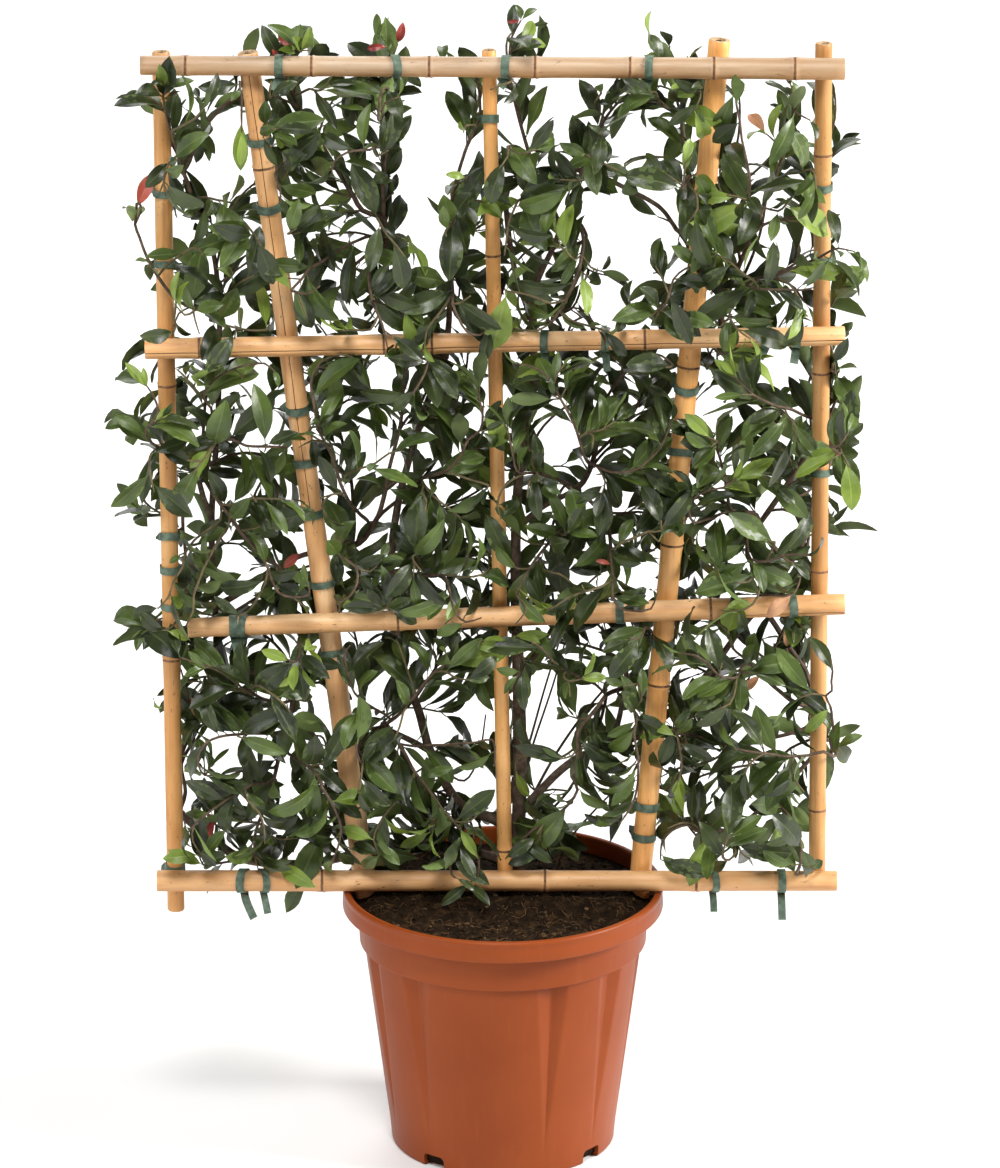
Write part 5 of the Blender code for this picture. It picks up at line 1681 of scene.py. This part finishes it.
def place_leaves(foliage, outline, joints):
    """The leaves with a place of their own: at the outline, apart in colour, and over canes and bars."""
    rng = foliage.rng
    for goal in outline:
        joint = nearest(joints, goal)
        reach = (goal - joint).length
        if OUTLINE_NEAR < reach < OUTLINE_FAR:
            length = min(reach * OUTLINE_SHARE, LONGEST_LEAF)
            foliage.add(joint, goal - joint, OUTLINE_FACING, length, GREEN, PLACED_SPARE)
    for x, y, z, length, tone in SPECIAL_LEAVES:
        goal = Vector((x, y, z))
        if foliage.space.holds(goal):
            joint = nearest(joints, goal)
            number = TONES.index(tone)
            foliage.add(joint, goal - joint, SPECIAL_FACING, length, number, PLACED_SPARE, PLACED)
    for x, z in OVERHANGS:
        goal = Vector((x, OVERHANG_LEAF_DEPTH, z + 0.01))
        if not foliage.space.holds(goal, OVERHANG_MARGIN):
            continue
        added = 0
        for joint in sorted(joints, key=lambda joint: (joint - goal).length)[:OVERHANG_TWIGS]:
            reach = (goal - joint).length
            aim = goal + Vector((rng.uniform(-0.008, 0.008), 0.0, rng.uniform(-0.014, 0.006))) - joint
            length = min(max(OVERHANG_SHARE * reach, OVERHANG_SHORTEST), OVERHANG_LONGEST)
            tone = rng.choice((DARK, DARK, GREEN, YOUNG))
            added += foliage.add(joint, aim, OVERHANG_FACING, length, tone, OVERHANG_SPARE, PLACED)
            if added == OVERHANG_LEAVES:
                break


def add_twig(twigs, path, radii, steps, slot):
    """A twig along a path; the radii are those at every so many steps of it."""
    def radius_at(k, angle):
        share = k / steps
        low = min(int(share), len(radii) - 2)
        return radii[low] + (radii[low + 1] - radii[low]) * (share - low)

    twigs.add(*tube_mesh(path, radius_at, TWIG_SIDES), slot)


def add_leaves(foliage, path, fullness, on_shoot):
    """Leaves along a twig from its tip back; on_shoot(k) tells if point k lies on a shoot."""
    rng = foliage.rng
    young = rng.random() < YOUNG_SHARE
    turn = rng.uniform(0, math.tau)
    run, count = FIRST_LEAF, 0
    for k in range(len(path) - 1, 0, -1):
        start, end = path[k], path[k - 1]
        heading = (start - end).normalized()
        length = (end - start).length
        while run < length:
            count += 1
            rosette = count <= ROSETTE
            free = ON_SHOOT if on_shoot(k) else BOUND
            share = fullness * (SHOOT_SHARE if free else 1.0)
            if rng.random() < share * (1.0 if count < LEAFY_COUNT else THIN_SHARE):
                size_share = rng.uniform(*LEAF_SIZES) * (SMALL_SHARE if count <= SMALL_TIPS else 1.0)
                tone = GREEN if rng.random() < GREEN_SHARE else DARK
                if young and rosette:
                    tone = YOUNG
                lean = rng.uniform(*(ROSETTE_LEANS if rosette else LEANS))
                turn += GOLDEN_ANGLE
                place = start.lerp(end, run / length)
                foliage.grow(place, heading, turn, LEAF_LENGTH * size_share, lean, tone, free)
            run += LEAF_PITCH * (ROSETTE_PITCH if rosette else 1.0)
        run -= length


def make_mass(name, limbs, skin, canes, shape, finishes, bark):
    bough, columns, rows, seed, fullness = MASSES[name]
    rng = random.Random(seed)
    space = Space(columns, rows)
    (before, _), (tip, tip_radius) = limbs[bough][-2:]
    outline = [Vector(point) for point in TIPS if space.holds(Vector(point))]
    goals = crown_goals(space, outline, rng)
    joints, parents = start_joints(tip, (tip - before).normalized(), SHOOTS.get(name, ()))
    own = len(joints)
    grow_joints(joints, parents, goals, space, skin, canes, rng)
    chains, size = chains_of(joints, parents)
    twigs = Pile(name.replace("foliage", "twigs"), bark)
    foliage = Foliage(name.replace("foliage", "leaves"), space, skin, canes, shape, finishes, rng)
    place_leaves(foliage, outline, joints)
    for start_radius, end_radius, points in THIN_STEMS.get(name, ()):
        path = smooth_path(points, TWIG_STEP / 2)
        slim = (start_radius - end_radius) / (len(path) - 1)
        twigs.add(*tube_mesh(path, lambda k, angle: start_radius - slim * k, TWIG_SIDES), 0)
    for chain in chains:
        radii = [TWIG_RADIUS + TWIG_GAIN * math.sqrt(size[i]) for i in chain]
        radii[0] = min(radii[0], tip_radius) if chain[0] == 0 else 0.9 * radii[1]
        radii[-1] = 0.8 * TWIG_RADIUS
        path = smooth_path([joints[i] for i in chain], TWIG_STEP / 2)
        steps = (len(path) - 1) / (len(chain) - 1)
        add_twig(twigs, path, radii, steps, 0 if size[chain[1]] > THICK_TWIG else 1)
        add_leaves(foliage, path, fullness, lambda k: chain[int((k - 1) / steps) + 1] < own)
    for pile, sharp, slot in ((twigs, None, "bark"), (foliage.pile, 70, "leaf")):
        made = pile.make(sharp)
        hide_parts(name)


def make_foliage(limbs):
    finishes = []
    for tone, (dark, mid, pale, rib, under, gloss) in LEAF_TONES.items():
        finishes.append(leaf_material("leaf_" + tone, dark, mid, pale, gloss, 0.16))
        finishes.append(leaf_material(f"leaf_{tone}_rib", mid, rib, rib, 0.5, 0.0))
        finishes.append(leaf_material(f"leaf_{tone}_under", mid, under, under, 0.65, 0.0))
    bark = [
        bark_material("twig_bark", (0.04, 0.026, 0.018), (0.085, 0.055, 0.036), (0.16, 0.11, 0.07)),
        bark_material("young_twig", (0.05, 0.045, 0.02), (0.105, 0.08, 0.04), (0.17, 0.13, 0.06)),
    ]
    skin = skin_tree(("pot", "soil", "cane", "bar", "trunk", "bough", "spur"), CLEARANCE)
    canes = skin_tree(("cane", "bar"), 0.0)
    shape = LeafShape()
    for name in MASSES:
        make_mass(name, limbs, skin, canes, shape, finishes, bark)


# Stage

def add_area(name, place, target, size, power, colour):
    light = bpy.data.lights.new(name, "AREA")
    light.shape = "DISK"
    light.size = size
    light.energy = power
    light.color = colour
    made = add_object(name, light)
    made.location = place
    made.rotation_mode = "QUATERNION"
    made.rotation_quaternion = (Vector(target) - Vector(place)).to_track_quat("-Z", "Y")


def make_stage():
    bpy.ops.mesh.primitive_plane_add(size=16.0, location=(0, 2.0, 0))
    floor = bpy.context.object
    floor.name = "floor"
    floor.data.materials.append(floor_material())
    world = bpy.data.worlds.new("studio")
    bpy.context.scene.world = world
    world.use_nodes = True
    background = world.node_tree.nodes["Background"]
    background.inputs["Color"].default_value = (1.0, 1.0, 1.0, 1)
    background.inputs["Strength"].default_value = 0.2
    for light in LIGHTS:
        add_area(*light)
    bpy.context.scene.view_settings.view_transform = "Standard"
    camera = bpy.data.cameras.new("camera")
    camera.sensor_width = SENSOR
    camera.lens = CAMERA_FOCUS * SENSOR / FRAME_LONG_SIDE
    camera.clip_end = 60
    made = add_object("camera", camera)
    made.location = CAMERA_PLACE
    made.rotation_euler = (math.pi / 2 - CAMERA_PITCH, 0, 0)
    bpy.context.scene.camera = made


def main():
    make_stage()
    make_pot(terracotta_material())
    soil = soil_material()
    make_soil_bed(soil)
    make_crumbs(soil, fibre_material())
    make_bamboo()
    make_ties(tie_material())
    limbs = {name: limb_shape(name) for name in LIMBS}
    bark = bark_material("bark", (0.045, 0.03, 0.022), (0.105, 0.072, 0.05), (0.2, 0.15, 0.105))
    make_limbs(bark, limbs)
    make_foliage(limbs)


main()
